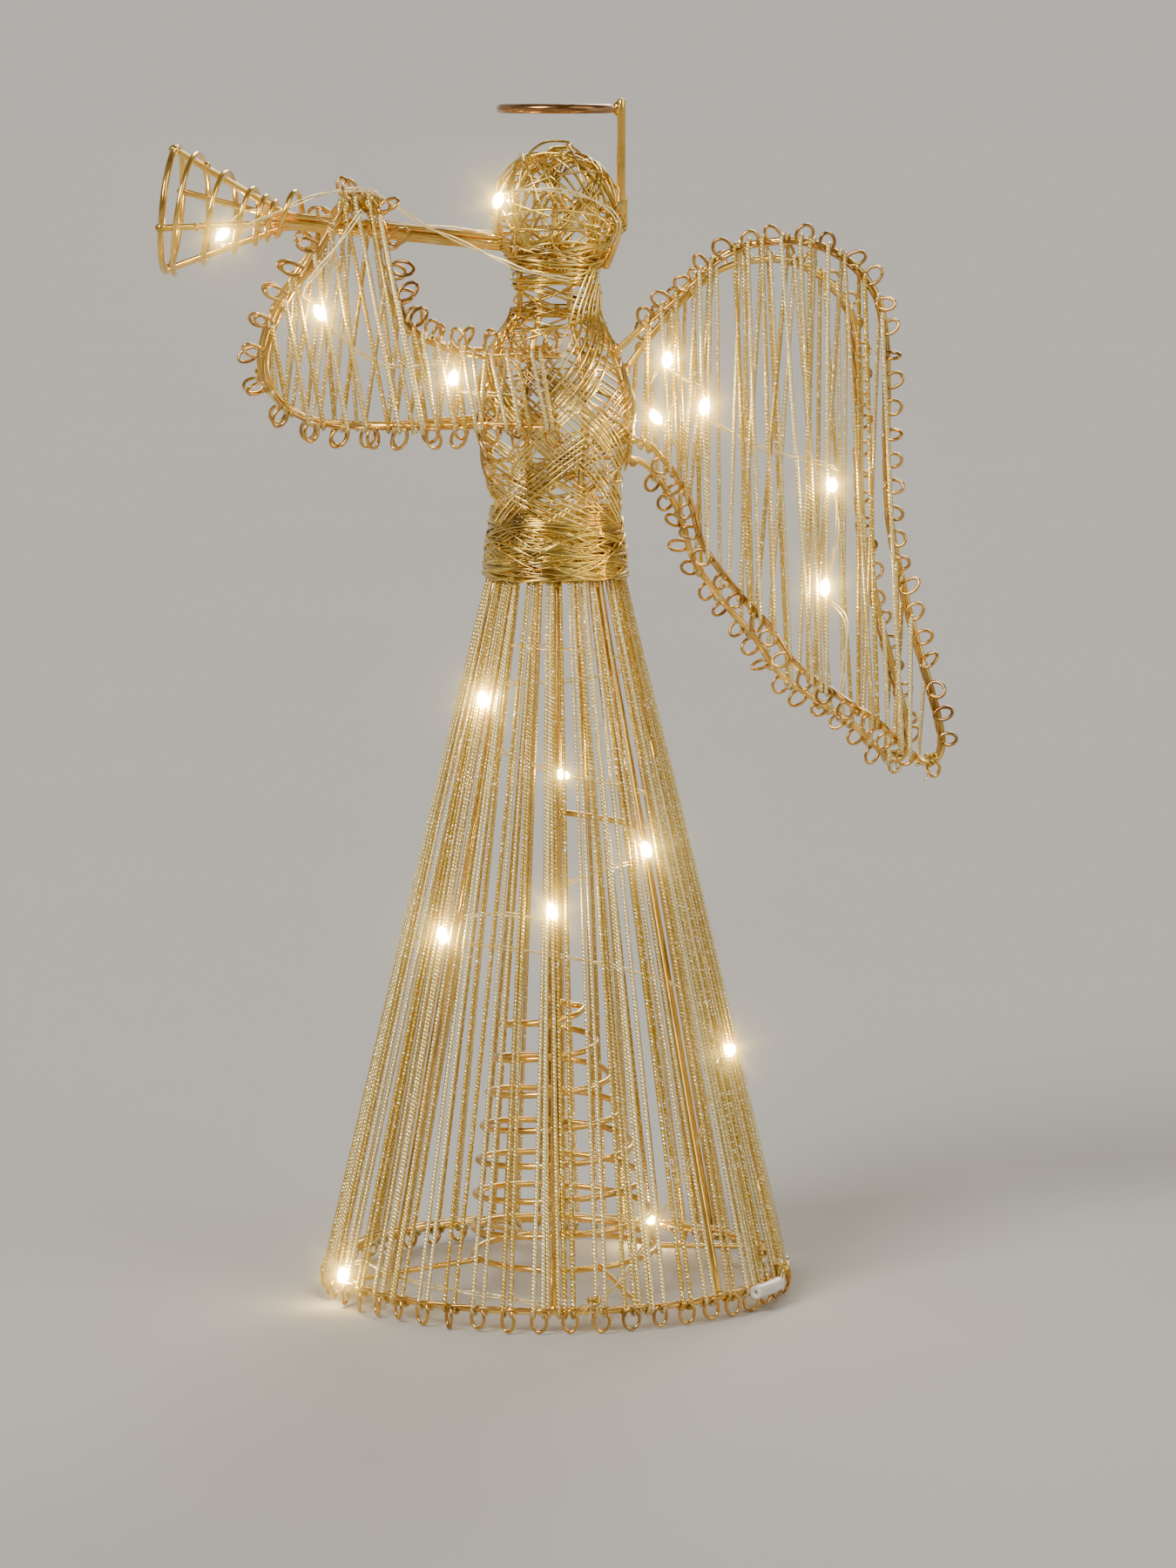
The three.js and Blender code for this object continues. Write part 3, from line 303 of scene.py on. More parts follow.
# ---- Torso cage --------------------------------------------------------------------------------
# Eight ribs of 1.8 mm wire, bent to the figure's chest and neck, and welded to a waist ring and a
# neck ring. It carries the sleeves and wings, and shows through the wire wound round it.
CAGE_WIRE, NECK_Z, NECK_RADIUS = 1.8, 304.4, 11.5
RIBS, FIRST_RIB, RIB_SPACING = 8, 22.5, 45
RIB_BENDS = [(0, 17.8), (16, 17.8), (33, 20.15), (50, 22.5), (68, 17), (78, 11.5), (92, 11.5)]


def smooth_line(corners, count):
    """Uniform Catmull-Rom curve through the corners, cut into equal lengths."""
    corners = np.asarray(corners, float)
    padded = np.concatenate([corners[:1], corners, corners[-1:]])
    t = np.linspace(0, len(corners) - 1, 60 * len(corners))
    i = np.minimum(t.astype(int), len(corners) - 2)
    w = (t - i)[:, None]
    p0, p1, p2, p3 = (padded[i + k] for k in range(4))
    second, third = p0 - 2.5 * p1 + 2 * p2 - p3 / 2, 1.5 * (p1 - p2) + (p3 - p0) / 2
    fine = p1 + w * (p2 - p0) / 2 + w**2 * second + w**3 * third
    reached = np.concatenate([[0], np.cumsum(np.linalg.norm(np.diff(fine, axis=0), axis=1))])
    even = np.linspace(0, reached[-1], count)
    return np.stack([np.interp(even, reached, fine[:, k]) for k in range(fine.shape[1])], axis=-1)


rib_profile = smooth_line(RIB_BENDS, 60)


def rib_radius(rise):
    """Distance of the ribs' middle from the axis at a rise above the waist ring, read off their profile."""
    return np.interp(rise, rib_profile[:, 0], rib_profile[:, 1])


rib_angles = FIRST_RIB + RIB_SPACING * np.arange(RIBS)[:, None]
ribs = wire(around(rib_angles, rib_profile[:, 1], WAIST_Z + rib_profile[:, 0]), CAGE_WIRE, 12,
            around(rib_angles + 90, 1, 0))
cage_rings = [wire(around(whole_turn(96), radius, z), CAGE_WIRE, closed=True)
              for radius, z in ((WAIST_RADIUS, WAIST_Z), (NECK_RADIUS, NECK_Z))]
rib_welds = blobs(around(rib_angles, (WAIST_RADIUS, NECK_RADIUS), (WAIST_Z, NECK_Z)), (0, 0, 1),
                  length=2.6, width=2.4)
add_piece("torso_rib_cage", [ribs, *cage_rings, rib_welds], antique_gold, "torso_cage")


# ---- Head cage ---------------------------------------------------------------------------------
# Four hoops of the same wire, crossed and welded at the crown and under the chin, make the ball of
# the head. The foot of the ball is let into the neck ring.
HEAD_RADIUS, HEAD_Z, HOOPS = 17.0, 318.6, 4
head_centre, pole = np.array([0, 0, HEAD_Z]), np.array([0, 0, 1])
hoop_turn = np.radians(whole_turn(72))[:, None]
hoop_side = around(180 / HOOPS * np.arange(HOOPS), 1, 0)[:, None]
hoops = head_centre + HEAD_RADIUS * (hoop_side * np.sin(hoop_turn) + pole * np.cos(hoop_turn))
hoop_wires = wire(hoops, CAGE_WIRE, 12, np.cross(hoop_side, pole), closed=True)
pole_welds = blobs(head_centre + HEAD_RADIUS * np.array([pole, -pole]), pole, length=2.8, width=5.0)
add_piece("head_hoop_cage", [hoop_wires, pole_welds], antique_gold, "head_cage")


# ---- Halo --------------------------------------------------------------------------------------
# A ring of 2.8 mm wire over the head, in a browner lacquer, and the 2.6 mm stem that carries it. The
# stem is welded to the ring's edge and to the back of the head, and its foot bends in under the jaw.
HALO_RADIUS, HALO_WIRE, HALO_X, HALO_Z = 16.15, 2.8, 0.45, 348.7
STEM_X, STEM_WIRE, STEM_FOOT, STEM_TOP = 19.3, 2.6, 302.9, 351.0
halo_gold = lacquered_wire("halo_gold_wire", "frame_wire", (0.11, 0.045, 0.015, 1), (0.36, 0.17, 0.055, 1),
                           (0.93, 0.72, 0.45, 1), 0.12)
halo = around(whole_turn(140), HALO_RADIUS, HALO_Z) + (HALO_X, 0, 0)
add_piece("halo_ring_wire", [wire(halo, HALO_WIRE, 16, closed=True)], halo_gold, "halo_ring")
stem_z = np.linspace(STEM_FOOT, STEM_TOP, 20)
stem_bend = 5.8 * np.maximum(0, (HEAD_Z - stem_z) / 18) ** 1.5
stem = wire(np.stack([STEM_X - stem_bend, 0 * stem_z, stem_z], -1), STEM_WIRE, 14, (0, 1, 0))
weld_places = [(STEM_X - 1.1, 0, HALO_Z), (STEM_X - 0.9, 0, HEAD_Z + 2), (STEM_X - 1.6, 0, HEAD_Z - 5)]
stem_welds = blobs(weld_places, (0, 0, 1), length=4.2, width=2.9)
add_piece("halo_stem_wire", [stem, stem_welds], antique_gold, "halo_stem")


# ---- Tree coil ---------------------------------------------------------------------------------
# A tapered spring of 1.9 mm wire inside the skirt that is pushed over the tree's tip. Its wire runs
# on up as a stem and bends across to a back leg, where it is welded.
COIL_WIRE, COIL_Z, COIL_TOP, COIL_TURNS, FLAT_TURNS, COIL_START = 1.9, 10.0, 84.0, 8, 0.75, 90
COIL_RADIUS, COIL_TAPER, COIL_X, COIL_LEAN = 27.5, 16, 3, 6.4
CROSSBAR_Z, CROSSBAR_LEG = 135.5, 135


def on_coil(degrees, turn):
    """Point of the coil: after a flat three quarter turn its height grows evenly, and its radius shrinks
    slowly at first and faster towards the top, while its middle leans over."""
    share = np.maximum(0, turn - FLAT_TURNS) / (COIL_TURNS - FLAT_TURNS)
    point = around(degrees, COIL_RADIUS - COIL_TAPER * share**1.5, COIL_Z + (COIL_TOP - COIL_Z) * share)
    point[..., 0] += COIL_X - COIL_LEAN * share
    return point


coil_turns = np.linspace(0, COIL_TURNS, COIL_TURNS * 44 + 1)
crossbar_end = around(CROSSBAR_LEG, leg_radius(CROSSBAR_Z) - 1.6, CROSSBAR_Z)
last_turns = [on_coil(COIL_START + 360 * turn, turn) for turn in (COIL_TURNS - 0.1, COIL_TURNS)]
coil_bends = np.array([
    *last_turns, (4.0, -3.2, 85.4), (-1.6, -2.4, 86.9), (-3.3, -0.8, 90.5), (-3.0, 0, 98), (-1.6, 0, 118),
    (-0.2, 0, 134), (0.2, 0.2, 139.4), (1.4, 1.4, 141.4), (3.6, 3.6, 141.6), crossbar_end])
coil_path = np.concatenate([on_coil(COIL_START + 360 * coil_turns, coil_turns)[:-5],
                            smooth_line(coil_bends, 90)])
crossbar_weld = blobs(crossbar_end, around(CROSSBAR_LEG, 1, 0), length=3.2, width=2.8)
add_piece("tree_coil_wire", [wire(coil_path, COIL_WIRE, 12, (0.35, 0.45, 0.82)), crossbar_weld], antique_gold,
          "tree_coil")


# ---- Coil struts -------------------------------------------------------------------------------
# Four short straight lengths of 1.7 mm wire, the same lacquered steel, that tie the coil's lowest turn to
# the hem ring. Each is welded at both ends.
STRUT_WIRE, STRUTS, FIRST_STRUT = 1.7, 4, 22
for k in range(STRUTS):
    at = FIRST_STRUT + 360 / STRUTS * k
    inner, outer = on_coil(at, (at - COIL_START) % 360 / 360), around(at, HEM_RADIUS, HEM_Z)
    strut = inner + (outer - inner) * np.linspace(0.01, 0.985, 8)[:, None]
    strut_welds = blobs(strut[[0, -1]], outer - inner, length=3.2, width=2.5)
    add_piece(f"strut_wire_{k + 1}", [wire(strut, STRUT_WIRE, 12), strut_welds], antique_gold,
              f"coil_strut_{k + 1}")


# ---- Trumpet -----------------------------------------------------------------------------------
# Four 2 mm wires lie side by side as the tube and flare out as the ribs of the bell. A ring runs round
# the bell's mouth, with a bead of weld at each rib. A thinner wire winds back round the ribs and ends in
# a loose turn round the tube.
TRUMPET_WIRE, SPIRAL_WIRE, BUNDLE, MOUTH_REACH, ROLL = 2.0, 1.7, 1.485, -40.2, -16
BELL_REACH, BELL_LENGTH, BELL_RADIUS = 56.6, 34.0, 18.2
CHEST_Z, HAND_X, HAND_RISE = 262.4, -56, 51.5
hand = np.array([HAND_X, 0, CHEST_Z + HAND_RISE])
pitch, yaw = np.radians(5.6), np.radians(4.7)
blow = np.array([-np.cos(pitch) * np.cos(yaw), np.cos(pitch) * np.sin(yaw), np.sin(pitch)])
bell_up = unit(np.array([0, 0, 1]) - blow[2] * blow)
bell_side = np.cross(blow, bell_up)


def on_trumpet(degrees, radius, reach):
    """Point by its reach from the hands towards the bell, and by angle and radius round that line."""
    angle, radius, reach = (np.asarray(a, float)[..., None] for a in np.broadcast_arrays(
        np.radians(np.add(degrees, ROLL)), radius, reach))
    return hand + blow * reach + radius * (bell_up * np.cos(angle) + bell_side * np.sin(angle))


def bell_cone(reach):
    """Radius of the ribs: level along the tube, then an even flare, with a soft bend between."""
    softness = 0.06
    x = (reach - BELL_REACH + BELL_LENGTH) / BELL_LENGTH
    return BUNDLE + (BELL_RADIUS - BUNDLE) * (np.sqrt(x**2 + softness**2) + x) / 2


tube_reach = np.concatenate([np.linspace(MOUTH_REACH, 20, 14), np.linspace(22, BELL_REACH, 22)])
wire_angles = 90 * np.arange(4)
for k, at in enumerate(wire_angles):
    rib = wire(on_trumpet(at, bell_cone(tube_reach), tube_reach), TRUMPET_WIRE, 12,
               bell_side if k % 2 == 0 else bell_up)
    rim_weld = blobs(on_trumpet(at, BELL_RADIUS, BELL_REACH), blow, length=3.4, width=3.0)
    add_piece(f"trumpet_tube_wire_{k + 1}", [rib, rim_weld], antique_gold, f"trumpet_wire_{k + 1}")
rim = wire(on_trumpet(whole_turn(120), BELL_RADIUS, BELL_REACH), TRUMPET_WIRE, 12, blow, closed=True)
add_piece("bell_ring_wire", [rim], antique_gold, "bell_ring")
spiral_turn = np.linspace(0, 5, 200)
spiral_end, spiral_start, tie_reach = 25.2, 180 - ROLL, 46.9
spiral_reach = np.interp(spiral_turn, (0, 0.5, 1.5, 2.5, 3.5, 4.5, 5),
                         (54.0, 50.4, 41.2, 33.0, 29.2, 26.4, spiral_end))
wound = on_trumpet(spiral_start + 360 * spiral_turn, bell_cone(spiral_reach) + 1.8, spiral_reach)
tail_length = 0.9
tail_turn = np.linspace(0, tail_length, 40)[1:]
tail = on_trumpet(spiral_start + 360 * tail_turn, 4.6 + 4.2 * np.sin(np.pi * tail_turn / tail_length) ** 2,
                  spiral_end - 9 * tail_turn)
spiral = wire(np.concatenate([wound, tail]), SPIRAL_WIRE, 10, blow)
tie_welds = blobs(on_trumpet(wire_angles, bell_cone(tie_reach) + 0.9, tie_reach), bell_side,
                  length=2.4, width=2.4)
add_piece("bell_spiral_wire", [spiral, tie_welds], antique_gold, "bell_spiral")


# ---- Sleeves and wings: frames -----------------------------------------------------------------
# Each sleeve and each wing is a length of 2 mm wire bent to its outline, with both ends welded to a
# rib. The sleeves meet at the hands on either side of the trumpet and run on across the chest; the wings
# turn out from the back.
LIMB_WIRE, HAND_Y, SEAT_GAP = 2.0, 3.685, 0.3
SLEEVE_BENDS = np.array([
    (-17, 15.1), (-25.2, 15.8), (-34.7, 18.5), (-41.3, 22.8), (-45.7, 30.8), (-48.6, 42), (-49.9, 52),
    (-54.2, 60.6), (-59.5, 58.5), (-64.6, 52), (-71.1, 40.8), (-76.9, 32.7), (-80.9, 25.5), (-83.8, 15.5),
    (-83.4, 8), (-79.5, 1.6), (-73.5, -2.8), (-64, -5.3), (-45.8, -5.8), (-31, -5.2), (-18, -4.6)])
WING_BENDS = np.array([
    (12, 31), (23.5, 41.3), (31.5, 46.2), (42, 48.4), (51.5, 48.2), (60.8, 44.7), (68, 38.8), (72.5, 31.8),
    (74.6, 22), (75.3, 8), (75.4, -12), (76.4, -32), (79.5, -47.5), (83, -62), (87, -75.5), (90.5, -88),
    (92, -96.5), (90.5, -101.2), (86.7, -102.6), (81.4, -98.7), (72.5, -90.5), (62.2, -84), (49, -74.6),
    (40.8, -63.3), (32, -54), (21.5, -40), (17, -26), (7.5, -12.5)])


def seat_reach(rise):
    """Distance from the axis of a limb wire that is seated on a rib."""
    return rib_radius(rise) + CAGE_WIRE / 2 + LIMB_WIRE / 2


sleeve_seat = around(-FIRST_RIB, seat_reach(45.6) + SEAT_GAP, 0)


def sleeve_place(side):
    """Sleeve shape: the flat outline bowed outwards from the hands to its seats on the chest ribs, and
    straight on from there."""
    rounding, splay = 4, 0.08

    def place(x, z, off):
        x, z, off = np.broadcast_arrays(np.asarray(x, float), z, off)
        d = np.minimum(x, sleeve_seat[0]) - HAND_X
        bow = np.hypot(d, rounding) - rounding
        seat_d = sleeve_seat[0] - HAND_X
        spread = (-sleeve_seat[1] - HAND_Y - splay * seat_d) / (np.hypot(seat_d, rounding) - rounding)
        slope = spread * d / np.hypot(d, rounding) + splay
        y = HAND_Y + spread * bow + splay * d + off * np.hypot(1, slope)
        return np.stack([x, side * y, CHEST_Z + z], -1)
    return place


def wing_place(side, yaw, drop):
    """Wing shape: the flat outline stood on its rib, turned outwards by its yaw and lowered by its drop."""
    c, s = np.cos(np.radians(yaw)), np.sin(np.radians(yaw))
    root = around(FIRST_RIB + RIB_SPACING, seat_reach(40.6 - drop) + SEAT_GAP, 0)

    def place(u, z, off):
        u, z, off = np.broadcast_arrays(np.asarray(u, float), z, off)
        y = side * (-root[1] + u * s + off * c)
        return np.stack([root[0] + u * c - off * s, y, CHEST_Z + z - drop], -1)
    return place


SLEEVE_CURLS, WING_CURLS, CHEST_RUN = 28, 46, 11
limbs = {}
for arm, side, shift in (("left", -1, 0.0), ("right", 1, -3.0)):
    upper, lower = ([(sleeve_seat[0] + past, z) for past in (CHEST_RUN, 0)] for z in (15.6, -4.4))
    bends = np.concatenate([lower, (SLEEVE_BENDS + (shift, 0))[::-1], upper[::-1]])
    limbs[arm + "_sleeve"] = (bends, sleeve_place(side), (0, 1, 0), SLEEVE_CURLS)
for arm, side, yaw, drop in (("left", -1, 10, 0.0), ("right", 1, 21, 6.5)):
    high = seat_reach(66.5 - drop) - seat_reach(40.6 - drop)
    bends = np.concatenate([[(high, 16.5)], WING_BENDS, [(0, -9.4)]])
    square = (-np.sin(np.radians(yaw)), side * np.cos(np.radians(yaw)), 0)
    limbs[arm + "_wing"] = (bends, wing_place(side, yaw, drop), square, WING_CURLS)
for limb, (bends, place, square, _) in limbs.items():
    outline = smooth_line(bends, 220)
    bent = wire(place(outline[:, 0], outline[:, 1], 0), LIMB_WIRE, 12, square)
    welded = bends[[1, -2]] if "sleeve" in limb else bends[[0, -1]]
    seats = blobs(place(welded[:, 0], welded[:, 1], -0.6), (0, 0, 1), length=4.0, width=3.0)
    add_piece(limb + "_frame_wire", [bent, seats], antique_gold, limb + "_frame")


# ---- Sleeves and wings: curls ------------------------------------------------------------------
# The same thin copper-coloured wire as at the hem runs along the outer face of each frame and curls
# outwards, 28 times on a sleeve and 46 times on a wing. It is tied on by the threads.
LIMB_CURL_OFF, LIMB_CURL_PASS, FINE_STEPS = 2.05, 0.6, 1200


def limb_curls(bends, place, count, tall, base, margin, seed):
    """Curled wire: at each station a full ellipse outwards from a base line beside the outline, turned a
    little out of its plane by chance, and a plain run to the next station."""
    chance = np.random.default_rng(seed)
    fine = smooth_line(bends, FINE_STEPS + 1)
    heading = unit(np.gradient(fine, axis=0))
    fine = fine + base * heading[:, ::-1] * (-1, 1)
    stations = np.linspace(margin, 1 - margin, count)
    at = np.round(stations * FINE_STEPS).astype(int)
    turn = np.linspace(0, 2 * np.pi, 20)
    wide = 2.15 + 0.2 * chance.standard_normal((count, 1))
    tall = tall + 0.2 * chance.standard_normal((count, 1))
    swing = np.radians(10 + 22 * chance.standard_normal((count, 1)))
    lean = 0.2 * chance.standard_normal((count, 1))
    outward = tall * (1 - np.cos(turn))
    forward = wide * np.sin(turn) + lean * outward
    along, out = (a[:, None] for a in (heading[at], heading[at][:, ::-1] * (-1, 1)))
    step = fine[at][:, None] + along * (forward * np.cos(swing))[..., None] + out * outward[..., None]
    curl_off = LIMB_CURL_OFF + forward * np.sin(swing) + LIMB_CURL_PASS * (turn / np.pi - 1)
    curl = np.concatenate([step, np.broadcast_to(curl_off, outward.shape)[..., None]], -1)
    share = np.linspace(0, 1, 6)[1:-1]
    between = stations[:-1, None] + np.diff(stations)[:, None] * share
    between = np.round(between * FINE_STEPS).astype(int)
    run_off = LIMB_CURL_OFF + LIMB_CURL_PASS * np.cos(np.pi * share)
    run = np.concatenate([fine[between], np.broadcast_to(run_off, between.shape)[..., None]], -1)
    path = np.concatenate([curl[:-1], run], axis=1).reshape(-1, 3)
    path = np.concatenate([path, curl[-1]])
    return place(path[:, 0], path[:, 1], path[:, 2])


for seed, (limb, (bends, place, square, count)) in enumerate(limbs.items()):
    tall, base, margin = (2.9, 0.6, 0.012) if "sleeve" in limb else (2.6, -0.8, 0.035)
    path = limb_curls(bends, place, count, tall, base, margin, seed)
    add_piece(limb + "_curl_wire", [wire(path, CURL_WIRE, 8, square)], copper_curl, limb + "_loop_wire")


# ---- Waist belt --------------------------------------------------------------------------------
# Fine gold wire wound tightly round the waist over the tops of the threads, turn on turn like a
# spool, with a brighter and looser second layer that bulges out and crosses over it.
WRAP_WIRE, CROSS_WIRE, WRAP_SIDES = 0.7, 0.78, 6
BELT_FOOT, BELT_HEIGHT, SPOOL_TURNS, SPOOL_WOBBLE = 0.9, 19.5, 27, 0.16
bright_gold = lacquered_wire("bright_wrap_wire", "wrap_wire", (0.30, 0.15, 0.02, 1), (0.96, 0.70, 0.13, 1),
                             (1.0, 0.93, 0.46, 1), 0.1, 0.8)
shaded_gold = lacquered_wire("shaded_wrap_wire", "wrap_wire", (0.18, 0.09, 0.014, 1), (0.76, 0.51, 0.08, 1),
                             (1.0, 0.90, 0.44, 1), 0.1)
chance = np.random.default_rng(21)


def each(low, high, *counts):
    """Chance values between low and high, one for each turn of wire, as a column."""
    return chance.uniform(low, high, counts + (1,))


def wrap(paths, diameter=WRAP_WIRE, closed=False):
    """Fine wire wound along the paths round the axis."""
    return wire(paths, diameter, WRAP_SIDES, from_axis(paths), closed)


def belt_radius(rise):
    """Outside of what the belt binds: the threads' slope below, drawn in to the ribs above."""
    return np.interp(rise, (-3.5, 2.5, 6.5, 16), (21.75, 20.35, 19.45, 19.2))


spool_turn = np.linspace(0, SPOOL_TURNS, SPOOL_TURNS * 40)
wobble = np.interp(spool_turn, np.linspace(0, SPOOL_TURNS, 200), SPOOL_WOBBLE * chance.standard_normal(200))
spool_rise = BELT_FOOT + BELT_HEIGHT * spool_turn / SPOOL_TURNS + wobble
spool = around(360 * spool_turn, belt_radius(spool_rise) + 0.12 * np.abs(wobble) / SPOOL_WOBBLE,
               WAIST_Z + spool_rise)
add_piece("waist_spool_wire", [wrap(spool)], shaded_gold, "waist_belt")
cross_angle, crossings = whole_turn(60), 54
cross_cycles = chance.integers(1, 3, (crossings, 1))
cross_phase = each(0, 360, crossings)
cross_middle = chance.triangular(1.4, 5.2, 13.5, (crossings, 1))
cross_room = np.minimum(cross_middle - 0.1, 19 - cross_middle)
cross_swing = np.minimum(each(0.8, 7.5, crossings), cross_room)
cross_wave = 0.3 * np.sin(np.radians(3 * cross_angle + 2 * cross_phase))
cross_slant = np.sin(np.radians(cross_cycles * cross_angle + cross_phase))
cross_rise = cross_middle + cross_swing * cross_slant + cross_wave
bulge = np.interp(cross_rise, (0, 4.5, 9.5, 14), (0.5, 1.0, 1.2, 0.7))
cross_radius = belt_radius(cross_rise) + each(0.35, 1.35, crossings) * bulge
cross = around(cross_angle, cross_radius, WAIST_Z + cross_rise)
add_piece("waist_crossing_wire", [wrap(cross, CROSS_WIRE, closed=True)], bright_gold)


# ---- Torso wrap --------------------------------------------------------------------------------
# The same fine wire wound up and down the ribs in slanting bundles of four strands, and round them in
# tilted turns, pulled nearly straight from rib to rib. Paler sashes of five thicker strands cross over it.
SASH_WIRE, BUNDLES, PER_BUNDLE, PER_SASH, SASH_GAP = 0.85, 11, 4, 5, 1.8
LOW_BANDS, HIGH_BANDS = 6, 3
STRAND_STEPS, PALE_LIFT, PALE_STEP = 44, 1.9, 0.25
SASHES = np.array([  # compass angles and rises from which and to which each sash runs
    (-34, 70, 55, 19), (36, -36, 61, 33), (-24, 46, 62, 37), (-74, 8, 67, 35), (26, -64, 41, 15),
    (-58, 30, 30, 17), (62, -6, 34, 60), (128, 205, 74, 40), (230, 140, 52, 20), (300, 215, 72, 44),
    (150, 250, 34, 15)], float)[..., None, None]
wrap_seat = CAGE_WIRE / 2 + WRAP_WIRE / 2


def taut(degrees, radius, pull):
    """Radius of a strand that is pulled towards the straight chord between two neighbouring ribs."""
    half = RIB_SPACING / 2
    from_middle = np.radians((degrees - FIRST_RIB) % RIB_SPACING - half)
    return radius * (1 - pull + pull * np.cos(np.radians(half)) / np.cos(from_middle))


strand_step = np.linspace(0, 1, STRAND_STEPS)
lean_right = np.where(each(0, 1, BUNDLES, 1) < 0.5, 1, -1)
bundle_start, bundle_turn = each(0, 360, BUNDLES, 1), each(110, 260, BUNDLES, 1)
bundle_middle = np.linspace(16, 71, BUNDLES)[:, None, None]
bundle_half = each(13, 30, BUNDLES, 1)
strand_gap = np.arange(PER_BUNDLE)[:, None] * each(1.3, 1.9, BUNDLES, 1)
strand_drift = each(-3, 3, BUNDLES, PER_BUNDLE) * strand_step
torso_angle = bundle_start + lean_right * bundle_turn * strand_step + 0 * strand_gap
torso_rise = bundle_middle + bundle_half * (2 * strand_step - 1) + strand_gap + strand_drift
torso_rise = np.clip(torso_rise, 12 + 2 * strand_gap / PER_BUNDLE, 79 - 3 * strand_gap / PER_BUNDLE)
torso_layer = wrap_seat + each(0.1, 0.9, BUNDLES, PER_BUNDLE)
torso_radius = taut(torso_angle, rib_radius(torso_rise) + torso_layer, each(0.35, 0.95, BUNDLES, 1))
bundles = around(torso_angle, torso_radius, WAIST_Z + torso_rise).reshape(-1, STRAND_STEPS, 3)
band_angle, band_count = whole_turn(64), LOW_BANDS + HIGH_BANDS
band_middle = np.concatenate([each(14, 38, LOW_BANDS), each(40, 77, HIGH_BANDS)])
band_tilt = each(1, 9, band_count) * np.interp(band_middle, (14, 24, 66, 78), (0.25, 1, 1, 0.2))
band_phase = each(0, 360, band_count)
band_rise = band_middle + band_tilt * np.sin(np.radians(band_angle + band_phase))
band_rise = band_rise + 0.5 * np.sin(np.radians(4 * band_angle + 3 * band_phase))
band_layer = wrap_seat + each(0.0, 0.8, band_count)
band_radius = taut(band_angle, rib_radius(band_rise) + band_layer, each(0.2, 0.9, band_count))
bands = around(band_angle, band_radius, WAIST_Z + band_rise)
sash_strand = np.arange(PER_SASH)[:, None]
sash_angle = SASHES[:, 0] + (SASHES[:, 1] - SASHES[:, 0]) * strand_step + 0 * sash_strand
sash_rise = SASHES[:, 2] + (SASHES[:, 3] - SASHES[:, 2]) * strand_step + SASH_GAP * (sash_strand - 2)
sash_rise = np.clip(sash_rise + each(-0.7, 0.7, len(SASHES), PER_SASH) * strand_step, 12.5, 80)
sash_radius = taut(sash_angle, rib_radius(sash_rise) + PALE_LIFT + PALE_STEP * (sash_strand % 2), 0.3)
sashes = around(sash_angle, sash_radius, WAIST_Z + sash_rise).reshape(-1, STRAND_STEPS, 3)
# The sashes and the fan take a paler copy of the wrap wire's gold: painted light, the lit look of strands
# that lie on top.
lit_pale_gold = lacquered_wire("lit_pale_wrap_wire", "wrap_wire", (0.40, 0.22, 0.035, 1), (1.0, 0.78, 0.23, 1),
                           (1.0, 0.95, 0.58, 1), 0.08, 0.5)
add_piece("torso_sash_wire", [wrap(sashes, SASH_WIRE)], lit_pale_gold)
add_piece("torso_wrap_wire", [wrap(bundles), wrap(bands, closed=True)], bright_gold, "torso_wrap")


# ---- Neck wrap ---------------------------------------------------------------------------------
# Turns of the same wire drawn in round the neck at a tilt, with a closer collar under the head, and a
# paler fan of eight strands that runs down from it over the shoulder.
NECK_TURNS, COLLAR_TURNS, FAN_STRANDS = 17, 7, 8
neck_angle = whole_turn(48)
neck_middle, neck_tilt = each(71, 87, NECK_TURNS), each(2.0, 6.0, NECK_TURNS)
neck_middle[:COLLAR_TURNS] = each(84.5, 89, COLLAR_TURNS)
neck_tilt[:COLLAR_TURNS] = each(0.2, 1.6, COLLAR_TURNS)
neck_phase = chance.choice([0, 180], (NECK_TURNS, 1)) + 40 * chance.standard_normal((NECK_TURNS, 1))
neck_rise = neck_middle + neck_tilt * np.sin(np.radians(neck_angle + neck_phase))
neck_layer = wrap_seat + each(0, 0.5, NECK_TURNS)
neck_radius = taut(neck_angle, rib_radius(neck_rise) + neck_layer, each(0, 0.6, NECK_TURNS))
neck = around(neck_angle, neck_radius, WAIST_Z + neck_rise)
fan_share = np.linspace(0, 1, 30)
fan_strand = np.arange(FAN_STRANDS)[:, None]
fan_angle = 50 + 5.2 * fan_strand - 72 * fan_share
fan_rise = 91 - 35 * fan_share - 1.1 * fan_strand
fan_radius = rib_radius(fan_rise) + PALE_LIFT + PALE_STEP * (fan_strand % 2)
fan = around(fan_angle, fan_radius, WAIST_Z + fan_rise)
add_piece("neck_wrap_wire", [wrap(neck, closed=True)], bright_gold, "neck_wrap")
add_piece("neck_fan_wire", [wrap(fan, SASH_WIRE)], lit_pale_gold)


# ---- Head wrap ---------------------------------------------------------------------------------
# The fine wire of the belt's second layer, wound openly round the ball of the head, singly or two together,
# and pulled straighter between the hoops. Closer turns slant round the jaw, and five loose ones stand off
# the crown.
PAIRS, SINGLES, STEM_TURNS, JAW_TURNS, TURN_STEPS, HOOP_PULL = 10, 6, 4, 14, 72, 0.8
LOOSE_AXIS = np.array([(0.9, 0.3, 0.15), (0.2, 1.0, 0.1), (0.7, -0.7, 0.2), (-0.5, 0.8, -0.1),
                       (1.0, 0.05, 0.35)])
LOOSE_SHIFT, LOOSE_LIFT = np.array([(5.0, -6.5, 3.0, 7.5, -4.0), (0.22, 0.16, 0.26, 0.14, 0.2)])


